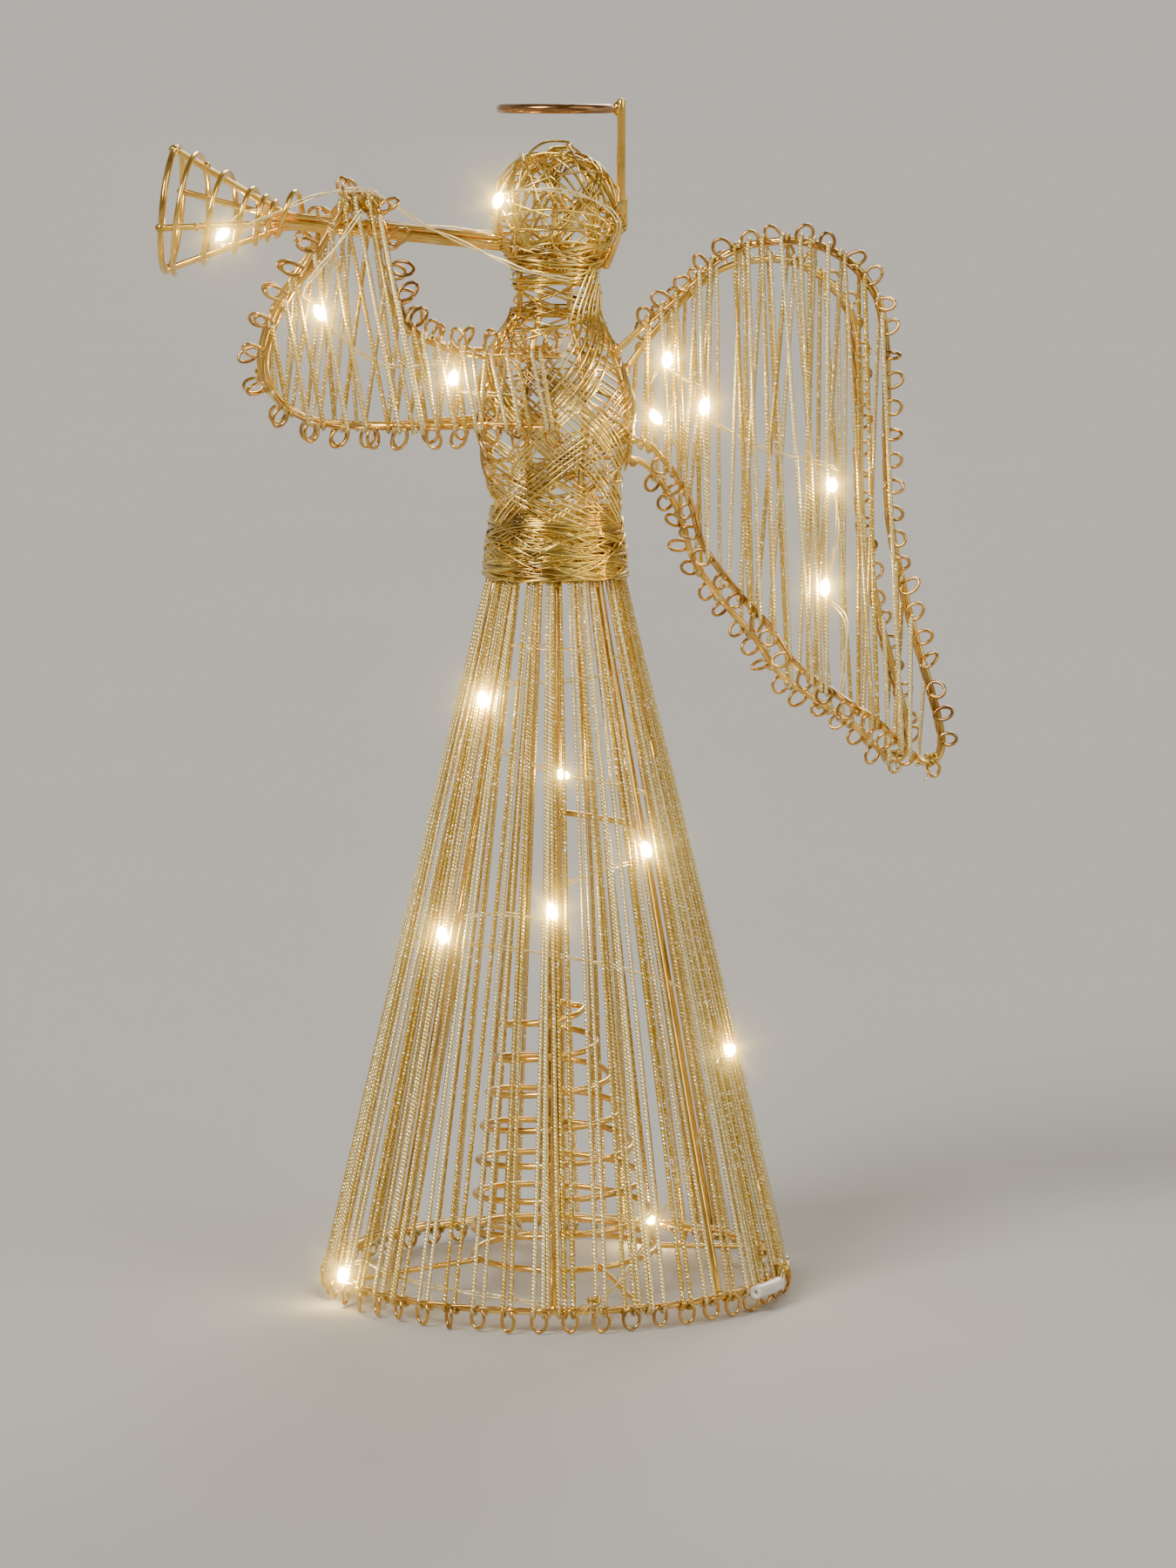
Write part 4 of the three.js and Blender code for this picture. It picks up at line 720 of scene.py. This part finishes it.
def head_turns(axis, shift, radius):
    """Circles cut from a ball by planes: each plane's axis, its shift from the middle, and the ball's radius
    there. Turns that meet the halo stem are lifted over it, like a cloth over a tent pole."""
    askew = (0.31, 0.52, 0.79)
    axis = unit(axis)
    first = unit(np.cross(axis, askew))
    second = np.cross(axis, first)
    turn = np.linspace(0, 2 * np.pi, TURN_STEPS, endpoint=False)
    level = np.sqrt(np.maximum(radius**2 - shift[:, None]**2, 1.0))
    ball = shift[:, None, None] * axis[:, None] + level[..., None] * (
        first[:, None] * np.cos(turn)[:, None] + second[:, None] * np.sin(turn)[:, None])
    x, y, z = np.moveaxis(ball, -1, 0)
    tent = STEM_X + 1.5 - 0.62 * np.abs(y) - 1.2 * np.maximum(0, np.abs(z) - 5)
    ball[..., 0] = np.where((x > 0) & (np.abs(y) < 9), np.maximum(x, tent), x)
    return ball


lift = np.linspace(-1.1, 1.1, PAIRS + SINGLES)
head_axis = around(90 + chance.uniform(-64, 64, PAIRS + SINGLES), 1, chance.permutation(lift))
head_axis = np.concatenate([np.repeat(head_axis[:PAIRS], 2, axis=0), head_axis[PAIRS:]])
head_axis = unit(head_axis) + 0.03 * chance.standard_normal(head_axis.shape)
head_shift = np.concatenate([np.repeat(chance.uniform(-11, 11, PAIRS), 2) + np.tile([-0.55, 0.55], PAIRS),
                             chance.uniform(-13, 13, SINGLES)])
stem_axis = np.stack([0.2 * chance.standard_normal(STEM_TURNS), 0.2 * chance.standard_normal(STEM_TURNS),
                      np.ones(STEM_TURNS)], -1)
every_axis = np.concatenate([head_axis, stem_axis, LOOSE_AXIS])
every_shift = np.concatenate([head_shift, np.linspace(-5, 5, STEM_TURNS), LOOSE_SHIFT])
ball_radius = HEAD_RADIUS + 1.2 + each(0, 0.9, len(every_shift)) * np.ones(TURN_STEPS)
ball = head_turns(every_axis, every_shift, ball_radius)
# The hoops stand half way between the angles of the ribs, so taut() is given angles that are moved on.
ball_angle = np.degrees(np.arctan2(ball[..., 0], -ball[..., 1]))
off_stem = ball[..., 0] <= 12
ball[..., :2] *= np.where(off_stem, taut(ball_angle + FIRST_RIB, 1, HOOP_PULL), 1)[..., None]
crown = np.clip(ball[-len(LOOSE_LIFT):, :, 2:] / (HEAD_RADIUS + 1.6) - 0.5, 0, 1)
ball[-len(LOOSE_LIFT):] *= 1 + LOOSE_LIFT[:, None, None] * crown
jaw_angle = whole_turn(TURN_STEPS)
jaw_tilt = each(1.5, 6, JAW_TURNS) * np.sin(np.radians(jaw_angle + each(0, 360, JAW_TURNS)))
jaw_rise = np.maximum(each(-16.5, -8, JAW_TURNS) + jaw_tilt, -19.3)
jaw_line = np.interp(jaw_rise, (-20, -16, -12.5, -9, -4.5, 0), (12.4, 12.9, 14.5, 16.3, 18.0, 18.6))
jaw = around(jaw_angle, jaw_line + each(0, 0.6, JAW_TURNS), jaw_rise)
head = np.concatenate([ball, jaw])
add_piece("head_wrap_wire", [wire(head + head_centre, CROSS_WIRE, WRAP_SIDES, unit(head), closed=True)],
          bright_gold, "head_wrap")


# ---- Skirt threads -----------------------------------------------------------------------------
# Two-ply metallic thread strung from under the belt to the hem ring and back, thinner towards the belt. It
# passes under the ring beside each curl, behind the curl, and up again on the curl's other side. In each
# panel one more pair hangs between two curls.
THREAD, PLY_LAY, PANELS, HOOK, FOOT_APART, BUNCH_APART = 1.3, 1.1, 12, 1.6, 1.3, 18
PANEL_CURLS = HEM_CURLS // PANELS
PER_PANEL = PANEL_CURLS + 1
STRING_TOP, STRING_FOOT = (19.7, 215.4), (68.6, 6.8)


def length_along(shade):
    """Millimetres along a wire from its start. The node's Y output is the share of a turn round it."""
    place = shade.node("ShaderNodeUVMap", {"uv_map": "UVMap"})
    return shade.node("ShaderNodeSeparateXYZ", {}, {0: place}, "X")


def metallic_thread(name, shadow, gold, silver):
    """Twisted two-ply thread: |sin| of the length along it and the turn round it gives the two plies, and the
    grooves between them take the shadow colour as painted shade. Each small cell of its foil glints by its
    own chance, with a painted paler colour and more gloss, and some threads are paler by their own number."""
    material, shade = new_finish(name)
    along = length_along(shade)
    turned = along.other("Y")
    strand = shade.node("ShaderNodeAttribute", {"attribute_name": "strand"}, {}, "Fac")
    twist = along * (np.pi / PLY_LAY) + turned * (2 * np.pi) + strand * 40
    crest = shade.maths("ABSOLUTE", shade.maths("SINE", twist))
    cell = shade.node("ShaderNodeCombineXYZ", {}, {0: shade.maths("FLOOR", along * 2.6 + turned * 2),
                                                   1: shade.maths("FLOOR", turned * 5 + along * 0.4),
                                                   2: strand * 50})
    glint = shade.node("ShaderNodeTexWhiteNoise", {"noise_dimensions": "3D"}, {"Vector": cell})
    # The grooves between the plies take the shadow colour: painted shade, on top of the bump.
    tone = crest.within(0.0, 0.36).tint(shadow, (strand.within(0.1, 1.0) * 0.8).tint(gold, silver))
    # The glinting cells are tinted silver: a painted glint. Their higher metallic and lower roughness are
    # real gloss.
    spark = glint.within(0.8, 0.88)
    relief = shade.node("ShaderNodeBump", {}, {"Height": crest, "Strength": 0.5, "Distance": 0.0003})
    cover(shade, {"Base Color": spark.tint(tone, silver), "Metallic": 0.78 + spark * 0.2,
                  "Roughness": 0.34 - spark * 0.2, "Normal": relief})
    return material, "metallic_thread"


champagne_thread = metallic_thread("champagne_thread", (0.16, 0.085, 0.01, 1), (0.62, 0.40, 0.05, 1),
                                   (1.0, 0.93, 0.58, 1))
chance = np.random.default_rng(5)
fall = np.linspace(0, 1, 16)
bend = np.radians(np.linspace(15, -180, 8))
behind = np.linspace(-1, 1, 5)[1:-1]
string_reach, string_z = (top + (foot - top) * fall for top, foot in zip(STRING_TOP, STRING_FOOT))
slim = np.interp(fall[:-1], (0, 0.4, 1), (0.66, 0.86, 1.04))
slimness = np.concatenate([slim, np.ones(2 * len(bend) + len(behind)), slim[::-1]])
for panel in range(PANELS):
    curl = np.append(np.arange(PANEL_CURLS), chance.integers(0, PANEL_CURLS) + 0.5) + PANEL_CURLS * panel
    middle = CURL_SPACING / 2 + CURL_SPACING * curl[:, None]
    sides = []
    for way in (-1, 1):
        even = middle + way * CURL_SPACING / 4
        gathered = 0.4 * (BUNCH_APART * np.round(even / BUNCH_APART) - even)
        top = even + gathered + 2.2 * chance.standard_normal((PER_PANEL, 1)).clip(-2.4, 2.4)
        foot = middle + way * (FOOT_APART + 0.3 * chance.standard_normal((PER_PANEL, 1)))
        sway = 0.45 * chance.standard_normal((PER_PANEL, 1)) * np.sin(np.pi * fall)
        sway = sway - each(0, 1.2, PER_PANEL) * (1 - fall)**2
        line = around(top + (foot - top) * fall**0.7, string_reach + sway, string_z)
        hook = around(foot, HEM_RADIUS + HOOK * np.cos(bend), HEM_Z + HOOK * np.sin(bend))
        sides.append(np.concatenate([line[:, :-1], hook], axis=1))
    inside = around(middle + FOOT_APART * behind, HEM_RADIUS - 1.7, HEM_Z + 0.3)
    strung = np.concatenate([sides[0], inside, sides[1][:, ::-1]], axis=1)
    thick = THREAD * each(0.88, 1.1, PER_PANEL) * slimness
    square = np.array([0, 0, 1]) - around(middle, 1, 0)
    add_piece(f"skirt_strings_{panel + 1}", [wire(strung, thick, 8, square)], champagne_thread,
              f"skirt_thread_{panel + 1}")


# ---- Knots -------------------------------------------------------------------------------------
# Where a thread was begun or finished it is knotted to the wire and cut off short, so that each knot
# is a small tangle with a few frayed fibres.
KNOT_THREAD, FIBRE, FIBRES = 0.95, 0.22, 9


def knot(middle, size, seed):
    """Trefoil: (sin t + 2 sin 2t, -sin 3t, cos t - 2 cos 2t), with fibres that curve out of its middle and
    stay above the floor."""
    chance = np.random.default_rng(seed)
    t = np.linspace(0, 2 * np.pi, 40, endpoint=False)
    turns = size * np.stack([np.sin(t) + 2 * np.sin(2 * t), -np.sin(3 * t),
                             np.cos(t) - 2 * np.cos(2 * t)], -1)
    out = unit(chance.standard_normal((FIBRES, 1, 3)) + (0, -0.4, -0.5))
    reach = np.linspace(0, 1, 10)[:, None]
    droop = reach**2 * (0.5 * chance.standard_normal((FIBRES, 1, 3)) - (0, 0, 0.8))
    fibres = (out * reach + droop) * size * chance.uniform(3, 6.5, (FIBRES, 1, 1))
    fibres[..., 2] = np.maximum(fibres[..., 2], 0.5 - middle[2])
    square = np.cross(out, (0.4, 0.3, 0.86))
    return [wire(middle + turns, KNOT_THREAD, 7, unit(turns), closed=True),
            wire(middle + fibres, FIBRE, 5, square)]


knots = []
for seed, (middle, size) in enumerate(((around(9.3, 69.9, 9.6), 0.62),
                                       (limbs["left_wing"][1](89.0, -101.0, 2.8), 0.62),
                                       (limbs["right_sleeve"][1](-87.0, 9.0, 1.6), 0.5),
                                       (limbs["right_wing"][1](88.5, -101.5, 2.2), 0.55),
                                       (around(72, 70.2, 9.5), 0.7)), start=1):
    knots += knot(middle, size, seed)
add_piece("thread_knots", knots, champagne_thread)


# ---- Sleeve and wing threads -------------------------------------------------------------------
# The same thread wound round each sleeve and wing from edge to edge, so that it passes down the outer
# face, round the lower edge with its curled wire, up the inner face, and on along the upper edge.
WIND_MIDDLE, WIND_HALF, WIND_RISE, EDGE_ROOM = 0.78, 2.4, 1.7, 2
WINDINGS = {  # first string, then for the outer and the inner face: side, last string, spacing and lean
    "left_sleeve": (-82, ((1, -1, 4.0, 0.2), (-1, -14, 5.6, -0.12))),
    "right_sleeve": (-85, ((1, -14, 9.5, -0.12), (-1, -14, 8.2, 0.1))),
    "left_wing": (5, ((1, 88, 4.9, 0.03), (-1, 88, 6.8, -0.05))),
    "right_wing": (5, ((1, 88, 8.2, -0.035), (-1, 88, 7.8, 0.05)))}


def edge_height(outline, x, upper):
    """Height of an outline's upper or lower edge at each x, from the spans of it that cross that x."""
    a, b = outline[:-1, :, None], outline[1:, :, None]
    crosses = (a[:, 0] - x) * (b[:, 0] - x) <= 0
    z = a[:, 1] + (b[:, 1] - a[:, 1]) * (x - a[:, 0]) / np.where(a[:, 0] == b[:, 0], 1, b[:, 0] - a[:, 0])
    return np.where(crosses, z, -np.inf).max(0) if upper else np.where(crosses, z, np.inf).min(0)


over = np.radians(np.linspace(165, 0, 7))
down = np.linspace(0, 1, 12)[1:-1]
for limb, (bends, place, square, _) in limbs.items():
    outline = smooth_line(bends, 400)
    left, right = outline[:, 0].min() + EDGE_ROOM, outline[:, 0].max() - EDGE_ROOM
    first, faces = WINDINGS[limb]
    paths = []
    for face, last, spacing, lean in faces:
        tops = np.arange(first, last, spacing)
        tops = np.clip(tops + 0.16 * spacing * chance.standard_normal(len(tops)), left, right)
        top_z = edge_height(outline, tops, True)
        tall = top_z - edge_height(outline, tops, False)
        feet = np.clip(tops + tall * (lean + 0.03 * chance.standard_normal(len(tops))), left, right)
        foot_z = edge_height(outline, feet, False)
        tops, feet, top_z, foot_z = (a[:, None] for a in (tops, feet, top_z, foot_z))
        off = WIND_MIDDLE + face * WIND_HALF * np.cos(over)
        x = np.concatenate([tops + 0 * over, tops + (feet - tops) * down, feet + 0 * over], 1)
        z = np.concatenate([top_z + WIND_RISE * np.sin(over), top_z + (foot_z - top_z) * down,
                            foot_z - WIND_RISE * np.sin(over[::-1])], 1)
        paths.append(place(x, z, np.concatenate([off, np.full(len(down), off[-1]), off[::-1]])))
    sideways = unit(np.cross(square, (0, 0, 1)))
    paths = np.concatenate(paths)
    thick = THREAD * each(0.85, 1.08, len(paths))
    add_piece(limb + "_strings", [wire(paths, thick, 8, sideways)], champagne_thread, limb + "_thread")


# ---- Hand binding ------------------------------------------------------------------------------
# Thread wound round the tops of both sleeves where they meet over the trumpet, so that the two hands
# hold together.
BIND_THREAD, BIND_TURNS, BIND_X, BIND_RISE = 0.9, 10, -56.4, 59.3
bind_turn = np.linspace(0, BIND_TURNS, BIND_TURNS * 26)
bind_angle = 2 * np.pi * bind_turn
bind_path = np.stack([BIND_X + 4.4 * np.sin(1.9 * bind_turn) + 0.8 * np.sin(bind_angle + bind_turn),
                      (5.3 + 0.25 * np.sin(3.1 * bind_turn)) * np.cos(bind_angle),
                      CHEST_Z + BIND_RISE + (2.9 + 0.3 * np.sin(2.3 * bind_turn)) * np.sin(bind_angle)], -1)
add_piece("hand_binding", [wire(bind_path, BIND_THREAD, 8, (1, 0, 0))], champagne_thread)


# ---- Light strings -----------------------------------------------------------------------------
# Strings of micro lights: two thin varnished wires twisted together, with a drop of clear resin cast over
# each light. They are threaded through the finished angel behind its strings, and come out between them at
# the nearer lights.
BEAD, BEAD_LENGTH, LIGHT_WIRE, LIGHT_LEAD, LIGHT_GAP, LOWEST = 2.7, 4.8, 0.56, 0.6, 0.3, 8
TWIST_STEP, TWIST_TURN, TWIST_RADIUS = 1.6, 0.3, 0.5


def light_resin(name):
    """Lit resin drop: white-hot in the middle of its length, warm amber at both ends."""
    material, shade = new_finish(name)
    flaw = noise(shade, 900.0)
    along = length_along(shade)
    far = shade.maths("ABSOLUTE", along * (2 / BEAD_LENGTH) - 1)
    glow = (far + flaw * 0.3).within(0.25, 1.05).tint((1.0, 0.82, 0.42, 1), (0.88, 0.50, 0.12, 1))
    cover(shade, {"Base Color": (1.0, 0.9, 0.7, 1), "Roughness": 0.1 + flaw * 0.1, "Emission Color": glow,
                  "Emission Strength": 230.0})
    return material, "light_string"


def varnished_wire(name):
    """Pale varnished wire: a cream coat over bright metal, thinner in patches."""
    material, shade = new_finish(name)
    patch = noise(shade, 260.0, 3.0)
    cover(shade, {"Base Color": patch.within(0.4, 0.62).tint((1.0, 0.80, 0.36, 1), (1.0, 0.93, 0.62, 1)),
                  "Metallic": 0.4, "Roughness": 0.14 + patch * 0.2})
    return material, "light_string"


lit_resin, varnished_light_wire = light_resin("lit_resin"), varnished_wire("varnished_light_wire")


def light_string(name, routes, square=None):
    """Twin wire: two strands half a turn apart round a smooth line through each route, and a resin drop at
    each point of a route that is lit. The twist is set out from the square direction, or from the axis."""
    strings, drops = [], []
    for route, lit in routes:
        route = np.asarray(route, float)
        count = int(np.linalg.norm(np.diff(route, axis=0), axis=1).sum() / TWIST_STEP)
        line = smooth_line(route, count)
        run = unit(np.gradient(line, axis=0))
        upright = from_axis(line) if square is None else np.broadcast_to(square, line.shape)
        normal = unit(upright - (upright * run).sum(-1, keepdims=True) * run)
        lay = (np.arange(count) * TWIST_TURN)[:, None]
        apart = TWIST_RADIUS * (np.cos(lay) * normal + np.sin(lay) * np.cross(run, normal))
        strings.append(wire(np.stack([line + apart, line - apart]), LIGHT_WIRE, 6, upright))
        if lit:
            nearest = np.linalg.norm(line - route[lit][:, None], axis=-1).argmin(1).clip(3, count - 4)
            drops.append(blobs(line[nearest], run[nearest], BEAD_LENGTH, BEAD, 12))
    add_piece(name + "_wire", strings, varnished_light_wire, name)
    add_piece(name + "_drops", drops, lit_resin)


def inside_legs(z, size=LIGHT_LEAD):
    """Distance from the axis of something of that size that hangs on the inner side of the legs."""
    return leg_radius(max(z, LOWEST)) - LEG_WIRE / 2 - LIGHT_GAP - size / 2


SKIRT_HEIGHT, HEM_RUN, LEAD_RADIUS, DIP, ROUND_STEP = 206, 8.4, 71.3, 4, 30
HUNG = -(LEG_WIRE + BEAD) / 2 - LIGHT_GAP
skirt_stops = [(154, HEM_RUN, HUNG), (297, 9.0, 3.4), (370, HEM_RUN, None)]
skirt_stops += [(degrees, HEM_Z + SKIRT_HEIGHT * share, out) for degrees, share, out in (
    (432, 0.33, 3.4), (675, 0.506, 4.2), (719, 0.549, 4.4), (761, 0.625, 4.5), (897, 0.697, HUNG),
    (1036, 0.833, 4.9), (1350, 0.9, HUNG))]
start_angle = 100
skirt_route = [around(67.3, LEAD_RADIUS, HEM_Z), around(69.3, LEAD_RADIUS, HEM_Z),
               around(75, 69.05, HEM_Z + 4), around(79, inside_legs(0, BEAD), HEM_Z + 4),
               around(start_angle, inside_legs(0), HEM_RUN)]
skirt_lit, last_angle, last_z = [], start_angle, HEM_RUN
for degrees, z, out in skirt_stops:  # compass angle, height, and distance of a light out from the legs
    steps = int(np.ceil((degrees - last_angle) / ROUND_STEP))
    for k in range(1, steps):
        here = last_z + (z - last_z) * k / steps
        skirt_route.append(around(last_angle + (degrees - last_angle) * k / steps, inside_legs(here), here))
    in_front = out is not None and out > 0
    if in_front:
        skirt_route.append(around(degrees, inside_legs(z - DIP), z - DIP))
    skirt_route.append(around(degrees, inside_legs(z) if out is None else leg_radius(z) + out, z))
    if out is not None:
        skirt_lit.append(len(skirt_route) - 1)
    if in_front:
        skirt_route.append(around(degrees, inside_legs(z + DIP), z + DIP))
    last_angle, last_z = degrees, z + DIP * in_front
light_string("skirt_lights", [(skirt_route, skirt_lit)])


def on_head(degrees, rise, clearance):
    """Point on the wound head: its angle, its rise from the head's middle and its height off the wire."""
    radius = HEAD_RADIUS + 2.3 + clearance
    return around(degrees, np.sqrt(radius**2 - rise**2), HEAD_Z + rise)


head_light, bell_light = on_head(-53, 4.7, 1.3), on_trumpet(180, 10.0, 44.5)
trumpet_route = [on_head(-49, 8.3, 1.3), head_light, on_head(-57, 0.8, 1.3), on_head(-63, -3.7, 0.6),
                 on_trumpet(-30, 4.0, MOUTH_REACH + 2), on_trumpet(0, 3.0, MOUTH_REACH + 8),
                 *[on_trumpet(45, 2.7, reach) for reach in (-12, 0, 12, 24.5, 31.5)],
                 on_trumpet(90, 3, 36.5), on_trumpet(150, 6.2, 40.5), bell_light]
brow = [head_light, on_head(-32, 6.6, 0.8), on_head(-4, 7.0, 0.8), on_head(24, 5.2, 0.8),
        on_head(50, 1.6, 0.8), on_head(66, -2.2, 0.8), on_head(73, -5.5, 0.7), on_head(72, -9, 0.4)]
slack = [bell_light, (-94, -3.2, 309.6), (-90, -5.2, 314.2), (-80, -4.6, 319.2), (-68, -6.0, 324.0),
         (-56, -6.6, 325.4), (-49, -6.0, 322.4), (-38, -5.0, 315.0), (-28, -6.5, 310.6), (-17, -10.5, 305.6),
         (-8, -13.6, 302.0), (4, -15.0, 299.6)]
light_string("trumpet_lights", [(trumpet_route, [1, len(trumpet_route) - 1]), (brow, []), (slack, [])],
             (0.1, 0.5, 0.86))
BACK, FRONT = -2, 5.2
LIMB_ROUTES = {  # points by their place on the flat outline and their distance off it, and which are lit
    "left_sleeve": ([
        (sleeve_seat[0] - 2, 4, BACK), (-29.0, 5, BACK), (-29.4, 9.4, FRONT), (-30, 13.4, BACK),
        (-50, 12, BACK), (-66.0, 23, BACK), (-68.3, 27.3, FRONT), (-71, 31, BACK), (-73, 34, 4),
        (-65, 44.5, 4.4), (-56, 57, 3.6)], [2, 6]),
    "left_wing": ([
        (5, 6, BACK), (11.7, 18.3, BACK), (11.7, 14.3, FRONT), (12, 10.3, BACK), (21.7, 4.5, BACK),
        (22.5, 0.5, FRONT), (23, -3.5, BACK), (40, -12, BACK), (59.5, -17, BACK), (59.9, -21.1, FRONT),
        (60, -25.1, BACK), (61, -36, 1), (58.4, -47.8, BACK), (58, -51.8, FRONT), (58.4, -55.8, BACK),
        (64, -62, 2), (63, -80, 3.4)], [2, 5, 9, 13]),
    "right_wing": ([(4, 8, BACK), (9, 2, BACK), (15, -6, BACK)], [1])}
for limb, (route, lit) in LIMB_ROUTES.items():
    _, place, square, _ = limbs[limb]
    light_string(limb + "_lights", [(place(*np.transpose(route)), lit)], square)


# ---- Clear sleeve ------------------------------------------------------------------------------
# A short length of milky clear tubing shrunk over the joint in the lights' lead, just outside the
# hem. The twin wire comes out of it and turns in between two threads.
TUBING, TUBING_BORE = 4.0, 1.4


def hollow_tube(path, outer, bore, sides=18):
    """Tube wall: rings of the outer radius along the path, then rings of the bore's radius back again,
    closed into one skin."""
    run = unit(np.gradient(path, axis=0))
    up = np.array([0, 0, 1.0])
    side = unit(np.cross(run, up))
    turn = np.linspace(0, 2 * np.pi, sides, endpoint=False)
    spoke = side[:, None] * np.cos(turn)[:, None] + np.cross(side, run)[:, None] * np.sin(turn)[:, None]
    rings = np.concatenate([path[:, None] + spoke * outer / 2, (path[:, None] + spoke * bore / 2)[::-1]])
    index = np.arange(rings[..., 0].size).reshape(rings.shape[:2])
    ahead = np.roll(index, -1, 0)
    quads = np.stack([index, ahead, np.roll(ahead, -1, 1), np.roll(index, -1, 1)], -1).reshape(-1, 4)
    return rings.reshape(-1, 3), [(quads, np.zeros((quads.size, 2)))], np.zeros(rings[..., 0].size, int)


def milky_plastic(name, colour, haze, clarity):
    """Clear plastic gone milky: cloudy colour, soft gloss with scuffs, and light let through."""
    material, shade = new_finish(name)
    cloud = noise(shade, 320.0, 4.0)
    relief = shade.node("ShaderNodeBump", {}, {"Height": cloud, "Strength": 0.25, "Distance": 0.0004})
    cover(shade, {"Base Color": cloud.within(0.35, 0.65).tint(colour, haze), "Roughness": 0.18 + cloud * 0.25,
                  "Transmission Weight": clarity, "IOR": 1.45, "Normal": relief})
    return material, "clear_sleeve"


milky_tubing = milky_plastic("milky_tubing", (0.86, 0.85, 0.78, 1), (0.98, 0.97, 0.93, 1), 0.35)
tubing = around(np.linspace(55, 67, 24), LEAD_RADIUS, HEM_Z)
add_piece("lead_tubing", [hollow_tube(tubing, TUBING, TUBING_BORE)], milky_tubing, "lead_sleeve")


# ---- Glue --------------------------------------------------------------------------------------
# Two drops of clear glue that have set side by side on the wound wire, high on the chest. They are a
# little milky, like the tubing.
clear_glue = milky_plastic("clear_glue", (0.96, 0.93, 0.85, 1), (1.0, 0.99, 0.95, 1), 0.6)
glue_places = [around(6, rib_radius(68) + 2.2, WAIST_Z + 68.4),
               around(2, rib_radius(65) + 2.1, WAIST_Z + 65.5)]
glue = blobs(glue_places, around(96, 1, 0.35), length=5.6, width=4.2, sides=14)
add_piece("glue_drops", [glue], clear_glue)


# ---- Studio ------------------------------------------------------------------------------------
# A wide pale floor that runs out to a sky of the same tone, three soft lamps, and the camera level with
# the halo. The sky is darker overhead and behind the camera, so that the wires have something to mirror.
# The lens gives the lights a soft glow and fine rays.
FLOOR_HALF = 60  # metres
floor_mesh = bpy.data.meshes.new("studio_floor")
floor_mesh.from_pydata([(x * FLOOR_HALF, y * FLOOR_HALF, 0) for x, y in ((-1, -1), (1, -1), (1, 1), (-1, 1))],
                       [], [(0, 1, 2, 3)])
pale_floor, shade = new_finish("pale_floor")
mottle = noise(shade, 3.0)
cover(shade, {"Base Color": mottle.tint((0.51, 0.51, 0.51, 1), (0.52, 0.52, 0.52, 1)), "Roughness": 0.8,
              "Specular IOR Level": 0.0})
floor_mesh.materials.append(pale_floor)
floor = bpy.data.objects.new("studio_floor", floor_mesh)
bpy.context.scene.collection.objects.link(floor)

world = bpy.data.worlds.new("studio_sky")
world.use_nodes = True
world.node_tree.nodes.clear()
sky = Shade(world.node_tree)
height = sky.node("ShaderNodeSeparateXYZ", {}, {0: sky.node("ShaderNodeTexCoord", output="Generated")}, "Z")
level = height.other("Y").within(-0.35, 0.8).tint((0.24, 0.195, 0.135, 1), (0.60, 0.565, 0.51, 1))
tone = height.within(0.1, 0.7).tint(level, (0.175, 0.15, 0.118, 1))
sky.node("ShaderNodeOutputWorld", {}, {"Surface": sky.node("ShaderNodeBackground", {}, {"Color": tone})})
bpy.context.scene.world = world
for name, strength, spread, turn in (("key_lamp", 2.9, 26, (52, 0, -38)), ("fill_lamp", 1.0, 45, (60, 0, 55)),
                                     ("rim_lamp", 1.6, 26, (58, 0, 165))):
    lamp = bpy.data.lights.new(name, "SUN")
    lamp.energy, lamp.angle, lamp.color = strength, np.radians(spread), (1.0, 0.94, 0.84)
    lamp_object = bpy.data.objects.new(name, lamp)
    lamp_object.rotation_euler = np.radians(turn)
    bpy.context.scene.collection.objects.link(lamp_object)

camera_dip = 6.93  # degrees below level
camera = bpy.data.cameras.new("photo_camera")
camera.lens, camera.sensor_width = 128.4, 36.0
camera_object = bpy.data.objects.new("photo_camera", camera)
camera_object.location = (0.0096, -1.64, 0.350)
camera_object.rotation_euler = (np.radians(90 - camera_dip), 0, 0)
bpy.context.scene.collection.objects.link(camera_object)
bpy.context.scene.camera = camera_object

bpy.context.scene.use_nodes = True
compositor = bpy.context.scene.node_tree
compositor.nodes.clear()
lens = Shade(compositor)
picture = lens.node("CompositorNodeRLayers")
glow = lens.node("CompositorNodeGlare", {"glare_type": "FOG_GLOW"}, {
    "Image": picture, "Threshold": 25.0, "Strength": 0.42, "Size": 0.3, "Tint": (1.0, 0.92, 0.40, 1)})
rays = lens.node("CompositorNodeGlare", {"glare_type": "STREAKS"}, {
    "Image": glow, "Threshold": 42.0, "Strength": 0.035, "Streaks": 6, "Streaks Angle": 0.26, "Fade": 0.84,
    "Tint": (1.0, 0.88, 0.40, 1)})
lens.node("CompositorNodeComposite", {}, {"Image": rays})
